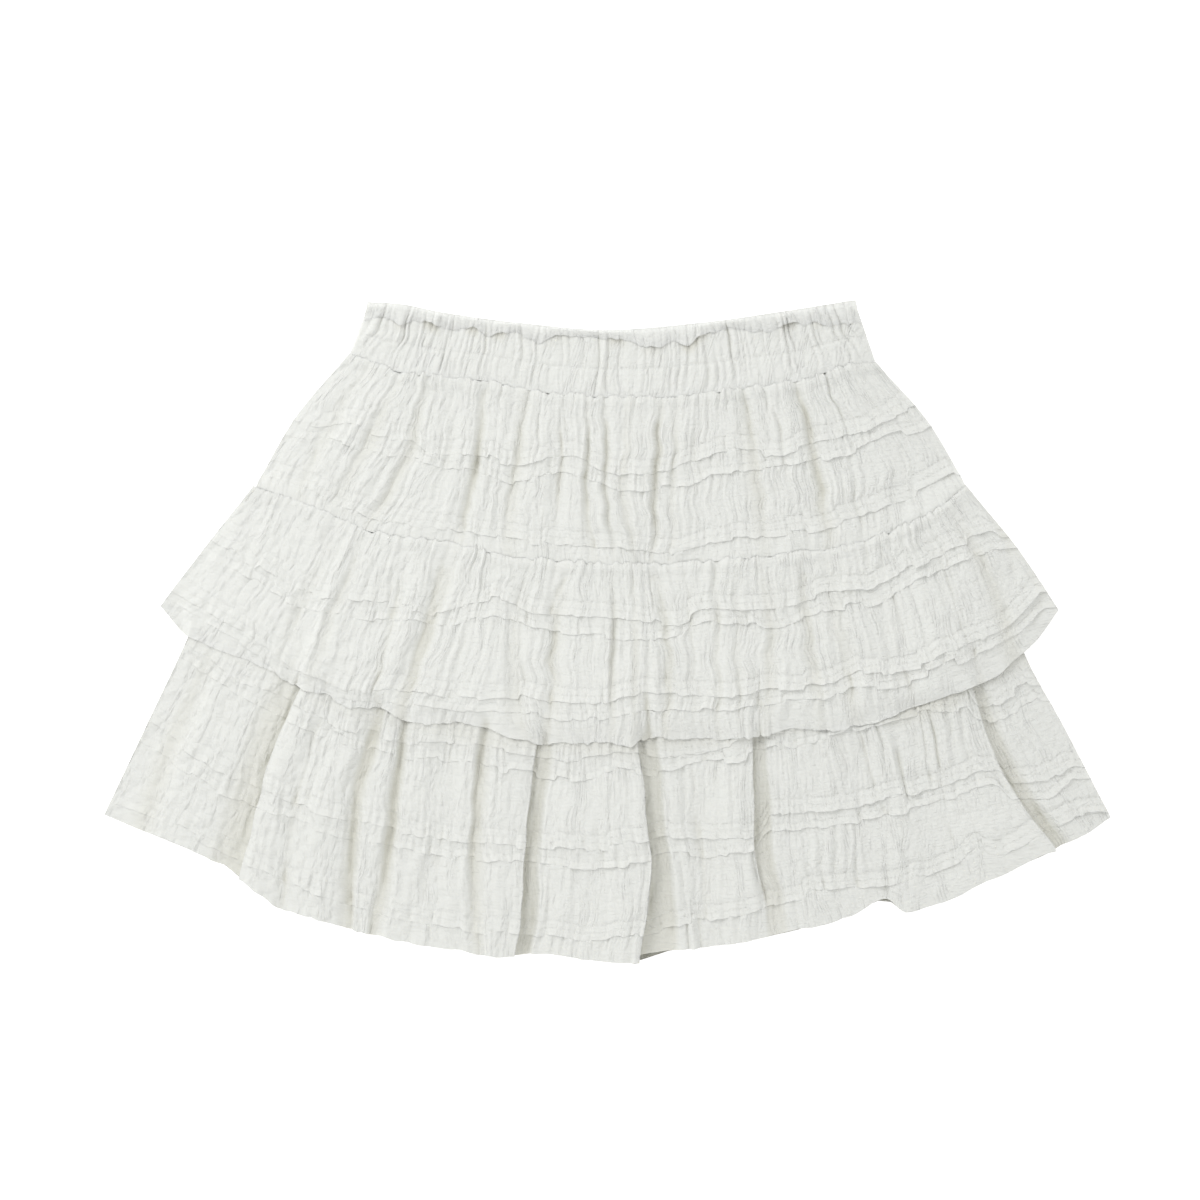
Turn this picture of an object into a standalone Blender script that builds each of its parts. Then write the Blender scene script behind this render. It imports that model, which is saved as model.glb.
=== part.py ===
"""Tiered ruffle skirt of crinkled cotton, laid flat with its front up.

The waist is at +Y, the hem at -Y and the front faces +Z. Every wall is a closed solid with a plain
inside; gathers, tucks and folds are raised in its outer points. A tier is described by its folds: a
table row gives one grain line of the cloth, with its place and its height at three stations down the
tier. Each panel is then laid on the pile of those below it, so that walls never cross.

Sizes in the tables are millimetres; the meshes are written in metres.
"""

from typing import NamedTuple

import bpy
import numpy as np

MM = 0.001

CLOTH = 1.0  # thickness of one wall
GAP = 0.3  # between two pieces, at a seam or where one lies on another
TUCK_RISE = 1.3  # how far a tuck's folded edge stands off the cloth below it
TUCK_DROP = 0.006  # share of a tier's length over which that edge falls away
CRINKLE = 0.55  # height of the gathers that run down every tier
SEAM_CRINKLE = 0.9  # and their height where the cloth is drawn up at a seam
SEAM_CRINKLE_END = 0.2  # share of a tier's length at which they are down to the usual height
CRINKLE_SWING = 0.25  # share of a gather's height that varies from one to the next
CRINKLE_PACE = 1.7  # radians of that swing for each column

CASING_WALL = 2.0  # doubled cloth with the elastic inside
CASING_LUMEN = 0.6  # between the casing's front and back walls
CASING_REST = 1.3  # underside of the casing, clear of the header below it
CHANNEL_PINCH = 0.8  # how far the casing dips at the seam between its two channels
HEADER_TOP = 1.2  # the casing ends this far below the top of the header
HEADER_BACK = 8.0  # length of the back header
HEADER_BACK_TOP = 0.5  # it starts this far below the top of the front one
HEADER_ROWS = (0.0, 0.35, 0.7, 1.0)  # shares of the front header's length
HEADER_CURL = 1.5  # power with which it lifts towards its free edge

YOKE_SEAM_LIFT = 2.6  # the yoke rides up over the seam allowances of both ruffles ...
YOKE_LIFT_START = 0.6  # ... from this share of its length
UNDER_RUFFLE = 0.46  # share of the lower ruffle's length that the upper one covers

MAP_HALF = (270.0, 180.0)  # half the width and length of the height map that a pile keeps
CELL = 1.5  # spacing of its cells
REACH = 2  # cells by which the pile's height is spread, then evened out
CHECKS = 61  # levels down a panel at which its inside is held clear of the pile
CLEARING_ROUNDS = 8  # times that its rows are raised where they are short ...
SHORTFALL = 1e-6  # ... by more than this
MOST_THICKENING = 2.2  # the most that a steep wall is thickened along Z
SIDE_INSET = 2.0  # the lower ruffle's top corners lie this far inside the upper one's


class Fold(NamedTuple):
    """One grain line of a tier: where it runs, and how high the cloth stands along it."""

    name: str
    x_top: float
    x_mid: float
    x_low: float
    y_low: float
    z_top: float
    z_mid: float
    z_low: float


class Tuck(NamedTuple):
    """A tuck's folded edge, as a share of the tier's length, at five places from left to right."""

    name: str
    left: float
    left_mid: float
    centre: float
    right_mid: float
    right: float
    depth: float


class Frill(NamedTuple):
    """The header's free edge: how far it hangs, and how far it is lifted off the casing."""

    x: float
    length: float
    lift: float


class BandRow(NamedTuple):
    """A row round the casing: its share of the casing's length, how far it is pinched, and its underside."""

    share: float
    pinch: float
    rest: float


TUCK_PLACES = (-0.9, -0.45, 0.0, 0.45, 0.9)  # of the tier's half width

WAIST_TOP = (
    (-120, 164.5), (-104, 163.5), (-84, 159.5), (-44, 154), (0, 150.5), (46, 154), (86, 159.5), (124, 165.5),
)
WAIST_SEAM = (
    (-130, 139.5), (-116, 135), (-104, 130.5), (-84, 128), (-64, 126.5), (-39, 121.5), (-20, 119),
    (0, 118), (26, 118), (46, 119.5), (66, 122), (96, 126), (111, 131), (121, 134), (135, 135),
)
RUFFLE_SEAM = (
    (-178, 73), (-154, 65.5), (-136, 58.5), (-121, 51.5), (-104, 48), (-84, 45.5), (-64, 41.5), (-44, 37.5),
    (-1, 34.5), (21, 34), (46, 35.5), (96, 40), (116, 43), (136, 48.5), (154, 56), (166, 63), (180, 74),
)

YOKE_FOLDS = (
    Fold("side_left", -129, -157, -176, 0, 0, 0, 0),
    Fold("flat", -125, -148, -166, 0, 0.8, 1.5, 1.0),
    Fold("gully", -118, -140, -155, 0, 0.8, 0.8, 0.8),
    Fold("swell", -110, -130, -147, 0, 1.5, 2.5, 2.0),
    Fold("gully", -101, -119, -138, 0, 1.0, 0.8, 1.2),
    Fold("fold", -95, -108, -129, 0, 1.8, 3.0, 2.0),
    Fold("gully", -90, -99, -121, 0, 0.8, 0.6, 0.6),
    Fold("fold", -83, -89, -109, 0, 1.8, 3.0, 2.2),
    Fold("dip", -73, -80, -96, 0, 1.2, 1.8, 1.6),
    Fold("fold", -67, -73, -84, 0, 1.8, 3.0, 2.2),
    Fold("gully", -60, -66, -73, 0, 0.6, 0.4, 0.5),
    Fold("fold", -54, -60, -66, 0, 1.8, 3.0, 2.2),
    Fold("swell", -48, -53, -58, 0, 1.4, 2.4, 2.0),
    Fold("gully", -40, -47, -50, 0, 0.8, 1.0, 1.2),
    Fold("fold", -31, -35, -37, 0, 2.0, 3.5, 2.6),
    Fold("dip", -21, -23, -25, 0, 1.2, 1.8, 1.6),
    Fold("fold", -15, -16, -17, 0, 1.8, 3.0, 2.2),
    Fold("gully", -10, -11, -6, 0, 0.8, 0.8, 0.8),
    Fold("fold", -5, -6, -1, 0, 1.6, 2.6, 2.0),
    Fold("gully", -1, -1, 4, 0, 0.6, 0.4, 0.8),
    Fold("fold", 5, 3, 9, 0, 1.6, 2.4, 1.8),
    Fold("gully", 11, 7, 14, 0, 0.8, 1.2, 0.8),
    Fold("fold", 19, 17, 18, 0, 1.8, 3.4, 2.2),
    Fold("gully", 28, 25, 22, 0, 0.5, 0.2, 0.3),
    Fold("fold", 32, 29, 27, 0, 1.4, 2.0, 1.8),
    Fold("gully", 35, 33, 31, 0, 0.8, 1.2, 1.4),
    Fold("fold", 41, 39, 39, 0, 1.8, 3.2, 2.4),
    Fold("dip", 47, 46, 48, 0, 1.2, 2.2, 2.0),
    Fold("fold", 56, 57, 61, 0, 1.8, 3.4, 2.4),
    Fold("gully", 67, 75, 80, 0, 0.8, 0.8, 1.4),
    Fold("fold", 74, 81, 88, 0, 1.8, 3.0, 2.4),
    Fold("fold", 87, 94, 99, 0, 1.8, 3.4, 2.6),
    Fold("gully", 94, 104, 111, 0, 0.6, 0.5, 0.8),
    Fold("fold", 101, 112, 121, 0, 1.8, 3.4, 2.6),
    Fold("swell", 111, 128, 139, 0, 1.6, 3.0, 2.4),
    Fold("dip", 120, 141, 151, 0, 1.4, 2.0, 1.6),
    Fold("flat", 127, 152, 166, 0, 1.0, 1.4, 1.2),
    Fold("side_right", 134, 161, 179, 0, 0, 0, 0),
)

UPPER_FOLDS = (
    Fold("side_left", -177, -201, -224, 12.5, 0, 0, 0),
    Fold("flat", -169, -190, -210, -2.5, 0.4, 1.0, 1.0),
    Fold("swell", -158, -176, -196, -8.5, 0.5, 2.0, 1.5),
    Fold("swell", -145, -164, -181, -14.5, 0.5, 2.0, 1.5),
    Fold("gully", -131, -151, -166, -20.5, 0.3, 0.8, 0.8),
    Fold("fold", -126, -144, -158, -27, 0.5, 2.0, 1.5),
    Fold("gully", -121, -136, -151, -29, 0.2, 0.4, 0.8),
    Fold("fold", -113, -127, -139, -33, 0.5, 2.2, 2.0),
    Fold("dip", -104, -117, -131, -37.5, 0.4, 1.2, 1.5),
    Fold("fold", -91, -104, -119, -38, 0.6, 3.0, 3.0),
    Fold("brow", -84, -95, -112, -39, 0.6, 3.0, 2.5),
    Fold("gully", -74, -89, -104, -44.5, 0.1, 0.2, 0.3),
    Fold("fold", -67, -82, -97, -45.5, 0.6, 2.5, 2.2),
    Fold("dip", -58, -63, -75, -45.5, 0.4, 1.8, 2.0),
    Fold("fold", -49, -56, -66, -47, 0.6, 2.5, 2.2),
    Fold("gully", -38, -47, -41, -54.5, 0.3, 1.0, 0.4),
    Fold("fold", -29, -34, -31, -56.5, 0.5, 2.2, 1.8),
    Fold("gully", -18, -28, -24, -56, 0.2, 0.8, 1.5),
    Fold("fold", -11, -16, -11, -56, 0.6, 2.5, 2.0),
    Fold("fold", -3, -2, -2, -55.5, 0.6, 2.8, 2.2),
    Fold("gully", 2, 2, 2, -55.5, 0.1, 0.2, 0.6),
    Fold("rib", 8, 9, 8, -56.5, 0.5, 1.6, 1.6),
    Fold("gully", 12, 13, 13, -56.5, 0.3, 0.8, 1.2),
    Fold("fold", 17, 21, 20, -53.5, 0.6, 3.2, 2.6),
    Fold("brow", 20, 26, 25, -53, 0.6, 3.2, 2.4),
    Fold("gully", 24, 31, 28, -53, 0.1, 0.2, 0.3),
    Fold("fold", 30, 37, 36, -53.5, 0.6, 2.4, 2.0),
    Fold("dip", 37, 41, 40, -53.5, 0.3, 1.4, 1.4),
    Fold("fold", 46, 48, 49, -53.5, 0.6, 2.4, 2.0),
    Fold("gully", 55, 55, 55, -54, 0.2, 0.6, 0.6),
    Fold("fold", 60, 59, 61, -53.5, 0.6, 2.0, 2.0),
    Fold("gully", 65, 64, 66, -53, 0.2, 0.8, 1.2),
    Fold("fold", 71, 73, 73, -52.5, 0.6, 2.2, 2.0),
    Fold("gully", 76, 81, 79, -51.5, 0.2, 0.5, 0.8),
    Fold("fold", 88, 91, 93, -48.5, 0.6, 3.0, 2.2),
    Fold("gully", 95, 101, 109, -49.5, 0.1, 0.3, 1.0),
    Fold("fold", 101, 107, 116, -49, 0.6, 2.2, 2.0),
    Fold("gully", 109, 115, 125, -47, 0.2, 0.8, 0.8),
    Fold("fold", 121, 129, 139, -43.5, 0.6, 2.5, 2.5),
    Fold("dip", 136, 143, 154, -37.5, 0.4, 2.0, 2.0),
    Fold("fold", 152, 164, 174, -30.5, 0.6, 2.5, 2.5),
    Fold("fold", 162, 179, 190, -24, 0.5, 2.2, 2.2),
    Fold("gully", 169, 191, 204, -14.5, 0.2, 0.3, 0.5),
    Fold("flat", 174, 199, 215, -5, 0.4, 1.0, 1.0),
    Fold("side_right", 179, 205, 226, 10.5, 0, 0, 0),
)

# On the lower ruffle, x_top and z_top are read at the upper ruffle's hem.
LOWER_FOLDS = (
    Fold("side_left", -210, -231, -252, -92, 0, 0, 0),
    Fold("gully", -197, -218, -234, -99.5, 1.0, 1.2, 1.5),
    Fold("swell", -181, -200, -218, -106, 3.0, 4.0, 4.0),
    Fold("gully", -158, -176, -190, -117, 1.0, 1.0, 0.6),
    Fold("brow", -152, -170, -180, -127.5, 5.5, 6.0, 6.5),
    Fold("dip", -141, -156, -165, -138, 4.0, 4.0, 4.5),
    Fold("fold", -129, -140, -148, -143, 6.0, 7.0, 7.0),
    Fold("brow", -123, -132, -138, -146, 5.5, 6.5, 6.0),
    Fold("gully", -114, -126, -128, -149, 1.5, 1.0, 0.5),
    Fold("fold", -109, -116, -122, -150.5, 5.5, 5.5, 3.0),
    Fold("gully", -102, -107, -118, -151.5, 1.5, 1.0, 0.8),
    Fold("fold", -93, -97, -105, -154.5, 5.5, 6.0, 5.5),
    Fold("dip", -80, -84, -89, -157, 4.0, 4.0, 4.5),
    Fold("fold", -69, -72, -73, -159.5, 5.5, 5.5, 5.0),
    Fold("gully", -63, -67, -64, -161.5, 1.5, 2.5, 4.5),
    Fold("fold", -52, -52, -55, -162.5, 5.5, 7.0, 7.0),
    Fold("brow", -39, -44, -47, -162.5, 5.5, 7.5, 8.0),
    Fold("gully", -33, -39, -42, -162, 0.8, 0.6, 0.4),
    Fold("brow", -26, -31, -35, -161, 4.5, 6.0, 7.0),
    Fold("dip", -10, -10, -13, -163.5, 5.5, 7.0, 7.5),
    Fold("fold", 7, 11, 7, -165.5, 7.0, 9.5, 10.0),
    Fold("brow", 15, 19, 14, -165.5, 7.0, 9.5, 10.0),
    Fold("gully", 19, 25, 20, -160, 0.5, 0.4, 0.3),
    Fold("gully", 23, 30, 32, -159.5, 0.8, 0.8, 0.6),
    Fold("fold", 32, 35, 40, -159, 4.5, 5.0, 4.0),
    Fold("dip", 46, 46, 49, -158, 3.0, 2.5, 2.5),
    Fold("fold", 64, 64, 69, -155.5, 6.0, 7.5, 5.5),
    Fold("brow", 73, 71, 80, -153.5, 6.0, 7.5, 5.0),
    Fold("gully", 76, 77, 89, -151.5, 0.6, 0.5, 1.5),
    Fold("gully", 80, 83, 96, -150, 3.0, 3.0, 2.5),
    Fold("swell", 111, 118, 121, -142, 4.5, 5.5, 5.5),
    Fold("notch", 125, 132, 139, -133.5, 3.5, 4.5, 3.5),
    Fold("fold", 136, 148, 148, -140.5, 5.0, 6.0, 6.5),
    Fold("dip", 154, 159, 164, -136.5, 4.0, 5.0, 5.5),
    Fold("fold", 169, 180, 190, -125, 6.0, 7.5, 7.5),
    Fold("brow", 177, 191, 219, -113, 6.0, 7.5, 7.5),
    Fold("gully", 182, 198, 225, -108.5, 1.5, 1.0, 0.5),
    Fold("swell", 196, 216, 239, -102.5, 2.5, 3.0, 3.0),
    Fold("side_right", 205, 229, 252, -93.5, 0, 0, 0),
)

YOKE_TUCKS = (
    Tuck("hip_1", 0.52, 0.42, 0.46, 0.37, 0.35, 0.10),
    Tuck("hip_2", 0.63, 0.52, 0.57, 0.46, 0.43, 0.10),
    Tuck("hip_3", 0.90, 0.92, 0.92, 0.90, 0.87, 0.11),
)
UPPER_TUCKS = (
    Tuck("ruffle_1", 0.42, 0.43, 0.33, 0.31, 0.20, 0.09),
    Tuck("ruffle_2", 0.50, 0.51, 0.42, 0.39, 0.28, 0.08),
    Tuck("ruffle_3", 0.80, 0.86, 0.80, 0.75, 0.76, 0.09),
    Tuck("ruffle_4", 0.89, 0.93, 0.87, 0.85, 0.87, 0.07),
)
LOWER_TUCKS = (
    Tuck("hem_ruffle_1", 0.49, 0.49, 0.495, 0.50, 0.55, 0.03),
    Tuck("hem_ruffle_2", 0.535, 0.535, 0.54, 0.545, 0.60, 0.04),
    Tuck("hem_ruffle_3", 0.71, 0.735, 0.73, 0.70, 0.77, 0.05),
    Tuck("hem_ruffle_4", 0.76, 0.78, 0.775, 0.75, 0.82, 0.045),
    Tuck("hem", 0.95, 0.945, 0.945, 0.92, 0.95, 0.055),
)

HEADER_EDGE = (
    Frill(-122, 8.5, 0.4), Frill(-112, 8.0, 0.8), Frill(-104, 10.0, 2.4), Frill(-96, 6.5, 1.0),
    Frill(-88, 7.0, 3.4), Frill(-80, 8.5, 0.6), Frill(-74, 7.5, 1.0), Frill(-67, 5.5, 3.2),
    Frill(-61, 8.0, 0.6), Frill(-54, 5.5, 3.4), Frill(-47, 5.0, 1.0), Frill(-41, 6.0, 0.8),
    Frill(-34, 9.5, 1.6), Frill(-24, 4.0, 2.2), Frill(-15, 4.0, 1.4), Frill(-4, 5.5, 0.6),
    Frill(4, 4.0, 3.0), Frill(13, 7.5, 1.6), Frill(23, 10.0, 2.4), Frill(33, 7.5, 1.4),
    Frill(41, 11.0, 3.6), Frill(48, 6.0, 2.6), Frill(56, 4.5, 1.0), Frill(66, 5.5, 0.8),
    Frill(76, 8.5, 1.6), Frill(84, 9.0, 1.2), Frill(91, 5.0, 3.6), Frill(98, 8.0, 0.8),
    Frill(105, 8.0, 2.4), Frill(112, 11.0, 1.2), Frill(119, 10.5, 2.0), Frill(127, 11.0, 0.5),
)

CASING_ROWS = (
    BandRow(0.0, 0.4, CASING_REST),
    BandRow(0.24, 0.0, CASING_REST),
    BandRow(0.52, CHANNEL_PINCH, CASING_REST),
    BandRow(0.8, 0.0, 0.3),
    BandRow(1.0, 0.9, 0.0),
)
BAND_END = (0.3, 0.0, 0.3)  # how far in the three columns at a band's end lie, as shares of its half width
BAND_CORNER = 0.25  # share of the way to the band's middle at which its end columns lie

YOKE_STATIONS = (0.0, 0.5, 1.0)
LOWER_STATIONS = (UNDER_RUFFLE, 0.73, 1.0)

YOKE_COLUMN, UPPER_COLUMN, LOWER_COLUMN = 3.6, 3.9, 5.2  # aimed width of a panel's columns
BACK_COLUMNS = 32
CASING_FRONT_COLUMNS, CASING_BACK_COLUMNS = 112, 24
HEADER_COLUMN = 3.8

YOKE_ROWS, YOKE_INNER = (0.0, 0.16, 0.76, 1.0), (0.0, 0.25, 0.5, 0.75, 1.0)
UPPER_ROWS, UPPER_INNER = (0.0, 0.12, 0.62, 1.0), (0.0, 0.2, 0.42, 0.64, 0.84, 1.0)
LOWER_ROWS, LOWER_INNER = (0.0, 0.22, 0.40, 0.64, 0.87, 1.0), (0.0, 0.22, 0.44, 0.62, 0.82, 1.0)
FLAT_ROWS = (0.0, 0.5, 1.0)
SLUNG_ROWS = (0.0, 0.25, 0.42, 0.50, 0.57, 0.66, 1.0)  # where the lower back comes down to the ground

COTTON = (0.83, 0.82, 0.79)
COTTON_ROUGHNESS = 0.9


def hermite_turns(xs, ys):
    """Slopes at the points that keep a smooth curve through them from overshooting; ys may be a table."""
    slope = np.diff(ys, axis=-1) / np.diff(xs)
    turn = np.zeros(np.shape(ys))
    before, after = slope[..., :-1], slope[..., 1:]
    total = before + after
    safe = np.where(total == 0, 1, total)
    turn[..., 1:-1] = np.where(before * after > 0, 2 * before * after / safe, 0)
    turn[..., 0], turn[..., -1] = slope[..., 0], slope[..., -1]
    return turn


def hermite(at, left_x, right_x, left_y, right_y, left_turn, right_turn):
    """The smooth curve between two points, from their heights and slopes."""
    step = right_x - left_x
    t = np.clip((at - left_x) / step, 0, 1)
    rising = t * t * (3 - 2 * t)
    bend = step * t * (1 - t)
    return left_y + (right_y - left_y) * rising + bend * (left_turn * (1 - t) - right_turn * t)


def curve(points, at):
    """A smooth rail through (x, y) points, read at x."""
    xs, ys = np.array(points, float).T
    turn = hermite_turns(xs, ys)
    i = np.clip(np.searchsorted(xs, at, side="right") - 1, 0, len(xs) - 2)
    return hermite(np.clip(at, xs[0], xs[-1]), xs[i], xs[i + 1], ys[i], ys[i + 1], turn[i], turn[i + 1])


class Tier:
    """The cloth of one tier, as a map from (u, v) to a place: u counts grain lines, v runs down from 0 to 1."""

    def __init__(self, folds, stations, top, low=None, seam_width=None):
        x = np.array([[f.x_top, f.x_mid, f.x_low] for f in folds], float)
        z = np.array([[f.z_top, f.z_mid, f.z_low] for f in folds], float)
        if seam_width:
            share = (x[:, 0] - x[0, 0]) / (x[-1, 0] - x[0, 0])
            seam = seam_width[0] + share * (seam_width[1] - seam_width[0])
            x = np.column_stack([seam, x])
            z = np.column_stack([np.zeros(len(z)), z])
            stations = (0.0, *stations)
        self.x, self.z, self.stations = x, z, np.array(stations)
        self.top = top
        self.low = low or [(f.x_low, f.y_low) for f in folds]
        self.last = len(folds) - 1

    def down(self, table, line, v):
        """A line's value at share v of the length."""
        turn = hermite_turns(self.stations, table)
        i = np.clip(np.searchsorted(self.stations, v, side="right") - 1, 0, len(self.stations) - 2)
        ends = self.stations[i], self.stations[i + 1]
        return hermite(v, *ends, table[line, i], table[line, i + 1], turn[line, i], turn[line, i + 1])

    def across(self, table, u, v, soft):
        """A value between two lines: straight, or softly rounded at both."""
        line = np.clip(np.floor(u).astype(int), 0, self.last - 1)
        t = u - line
        if soft:
            t = t * t * (3 - 2 * t)
        return self.down(table, line, v) * (1 - t) + self.down(table, line + 1, v) * t

    def place(self, u, v):
        """x and y of the cloth."""
        x = self.across(self.x, u, v, False)
        y_top = curve(self.top, self.across(self.x, u, np.zeros_like(v), False))
        y_low = curve(self.low, self.across(self.x, u, np.ones_like(v), False))
        return x, y_top + (y_low - y_top) * v

    def rise(self, u, v):
        """Height of the large folds over what the cloth lies on."""
        return self.across(self.z, u, v, True)

    def columns(self, width):
        """u of every column: one on each grain line, and more between them where the cloth is wide."""
        widths = np.diff(self.x[:, -2])
        found = [0.0]
        for line, gap in enumerate(widths):
            count = max(1, round(gap / width))
            found += [line + (step + 1) / count for step in range(count)]
        return np.array(found)


def tuck_edge(tuck, place):
    """A tuck's share of the length at a place across the tier, which runs from -1 to 1."""
    shares = (tuck.left, tuck.left_mid, tuck.centre, tuck.right_mid, tuck.right)
    return np.interp(place, TUCK_PLACES, shares)


def tuck_rise(tucks, place, v):
    """Relief of the tucks: each ramps up to its folded edge and falls away below it."""
    relief = np.zeros_like(v)
    for tuck in tucks:
        edge = tuck_edge(tuck, place)
        ramp = np.clip((v - edge + tuck.depth) / tuck.depth, 0, 1)
        fall = np.clip(1 - (v - edge) / TUCK_DROP, 0, 1)
        relief = np.maximum(relief, ramp * fall)
    return TUCK_RISE * relief


def tuck_rows(rows, tucks, place):
    """v of each row of a panel, sorted: its plain rows, and each tuck's start, edge and foot."""
    tables = [np.full_like(place, share) for share in rows]
    starts = []
    for tuck in tucks:
        edge = tuck_edge(tuck, place)
        tables += [edge, edge + TUCK_DROP]
        if not starts or np.mean(edge) - np.mean(starts[-1]) > tuck.depth + 2 * TUCK_DROP:
            tables.append(edge - tuck.depth)
        starts.append(edge)
    return np.sort(np.array(tables), axis=0)


class Pile:
    """What has been laid down so far, as a map of its height."""

    def __init__(self):
        self.half = np.array(MAP_HALF)
        self.peak = np.full((2 * self.half / CELL).astype(int) + 1, -GAP)
        self.even = self.peak.copy()

    def cells(self, x, y):
        """The place of a point in the map, in cells."""
        return (np.stack([x, y]) + self.half.reshape(2, *[1] * np.ndim(x))) / CELL

    def height(self, x, y):
        """The pile's height, evened out and never under what is there."""
        place = self.cells(x, y)
        i, j = np.clip(place.astype(int), 0, np.array(self.peak.shape).reshape(2, *[1] * np.ndim(x)) - 2)
        s, t = place[0] - i, place[1] - j
        near = self.even[i, j] * (1 - t) + self.even[i, j + 1] * t
        far = self.even[i + 1, j] * (1 - t) + self.even[i + 1, j + 1] * t
        return near * (1 - s) + far * s

    def add(self, outer):
        """Takes in a panel's upper surface, given as a grid of points."""
        dense = outer
        for axis in (0, 1):
            dense = refined(dense, axis, CELL / 2)
        x, y, z = dense.reshape(-1, 3).T
        i, j = np.rint(self.cells(x, y)).astype(int)
        np.maximum.at(self.peak, (i, j), z)
        offsets = range(-REACH, REACH + 1)
        spread = self.peak
        for axis in (0, 1):
            spread = np.max([np.roll(spread, k, axis) for k in offsets], axis=0)
        for axis in (0, 1):
            spread = np.mean([np.roll(spread, k, axis) for k in offsets], axis=0)
        self.even = spread


def refined(grid, axis, step):
    """A grid of points with more of them along one axis, at most a step apart."""
    lengths = np.linalg.norm(np.diff(grid, axis=axis), axis=-1)
    other = 1 - axis
    counts = np.ceil(lengths.max(axis=other) / step).astype(int).clip(1)
    start = np.repeat(np.arange(len(counts)), counts)
    share = np.concatenate([np.arange(n) / n for n in counts])
    share = share.reshape([-1 if a == axis else 1 for a in range(3)])
    low, high = np.take(grid, start, axis), np.take(grid, start + 1, axis)
    last = np.take(grid, [-1], axis)
    return np.concatenate([low + (high - low) * share, last], axis)


def made(name, outer, inner, faces, collection, material):
    """The object of a wall, from its outer and inner points and its faces."""
    points = np.concatenate([outer.reshape(-1, 3), inner.reshape(-1, 3)]) * MM
    mesh = bpy.data.meshes.new(name)
    mesh.from_pydata(points.tolist(), [], faces)
    mesh.validate()
    mesh.update()
    mesh.shade_smooth()
    mesh.materials.append(material)
    piece = bpy.data.objects.new(name, mesh)
    collection.objects.link(piece)
    return piece


def numbered(outer, inner):
    """The numbers of a wall's outer and inner points, each in its own rows."""
    out = np.arange(outer.shape[0] * outer.shape[1]).reshape(outer.shape[:2])
    return out, out.size + np.arange(inner.shape[0] * inner.shape[1]).reshape(inner.shape[:2])


def solid(name, outer, inner, collection, material):
    """A closed wall between an outer and an inner grid of points with the same columns.

    The rows may differ in number: each side edge is closed by faces between the two.
    """
    out, into = numbered(outer, inner)
    faces = []
    for grid, turned in ((out, False), (into, True)):
        quads = np.stack([grid[:-1, :-1], grid[1:, :-1], grid[1:, 1:], grid[:-1, 1:]], -1).reshape(-1, 4)
        faces += (quads[:, ::-1] if turned else quads).tolist()
    for row_out, row_in, turned in ((out[0], into[0], True), (out[-1], into[-1], False)):
        quads = np.stack([row_out[:-1], row_in[:-1], row_in[1:], row_out[1:]], -1)
        faces += (quads[:, ::-1] if turned else quads).tolist()
    y_out, y_in = outer[..., 1], inner[..., 1]
    for column, turned in ((0, False), (-1, True)):
        faces += side_faces(out[:, column], into[:, column], y_out[:, column], y_in[:, column], turned)
    return made(name, outer, inner, faces, collection, material)


def side_faces(out, into, y_out, y_in, turned):
    """Triangles between the outer and inner points of one side edge, both listed downwards."""
    i = j = 0
    faces = []
    while i < len(out) - 1 or j < len(into) - 1:
        step_out = j == len(into) - 1 or (i < len(out) - 1 and y_out[i + 1] >= y_in[j + 1])
        if step_out:
            face = [out[i], into[j], out[i + 1]]
            i += 1
        else:
            face = [out[i], into[j], into[j + 1]]
            j += 1
        face = [int(k) for k in face]
        faces.append(face[::-1] if turned else face)
    return faces


def zigzag(columns):
    """Alternate 0 and 1 along the columns, with a slow swing in strength, for gathers one column wide."""
    place = np.arange(columns)
    return (place % 2) * (1 - CRINKLE_SWING + CRINKLE_SWING * np.sin(place * CRINKLE_PACE))


def required(pile, tier, u, v):
    """The lowest the inside may lie: on the pile, and up at the folds."""
    x, y = tier.place(u, v)
    return pile.height(x, y) + GAP + tier.rise(u, v)


def laid_wall(pile, tier, u, rows, inner_rows, lift):
    """The outer and inner grids of a plain panel laid on a pile.

    The inside is straight between its rows, and each of them clears all that lies between its neighbours.
    """
    columns = len(u)
    checks = np.linspace(0, 1, CHECKS)
    fine_u, fine_v = np.meshgrid(u, checks)
    need = required(pile, tier, fine_u, fine_v) + lift(fine_v)
    levels = np.array(inner_rows)
    inside = []
    for k in range(len(levels)):
        low, high = levels[max(k - 1, 0)], levels[min(k + 1, len(levels) - 1)]
        margin = 0.5 * (checks[1] - checks[0])
        reach = (checks >= (low + levels[k]) / 2 - margin) & (checks <= (high + levels[k]) / 2 + margin)
        inside.append(need[reach].max(axis=0))
    inside = np.array(inside)
    for _ in range(CLEARING_ROUNDS):
        straight = np.array([np.interp(checks, levels, inside[:, c]) for c in range(columns)]).T
        short = need - straight
        if short.max() <= SHORTFALL:
            break
        for k in range(len(levels)):
            low, high = levels[max(k - 1, 0)], levels[min(k + 1, len(levels) - 1)]
            reach = (checks >= low) & (checks <= high)
            inside[k] += np.clip(short[reach].max(axis=0), 0, None)
    inner_u, inner_v = np.meshgrid(u, levels)
    inner_x, inner_y = tier.place(inner_u, inner_v)
    inner = np.stack([inner_x, inner_y, inside], -1)

    outer_u = np.tile(u, (len(rows), 1))
    x, y = tier.place(outer_u, rows)
    under = np.array([np.interp(rows[:, c], levels, inside[:, c]) for c in range(columns)]).T
    slope = np.gradient(under, axis=1) / np.gradient(x, axis=1)
    z = under + CLOTH * np.sqrt(1 + slope**2).clip(1, MOST_THICKENING)
    return np.stack([x, y, z], -1), inner


def crinkle_height(v):
    """Height of the gathers at a share of the length, which is greatest at the seam."""
    return CRINKLE + (SEAM_CRINKLE - CRINKLE) * np.clip(1 - v / SEAM_CRINKLE_END, 0, 1)


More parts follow.
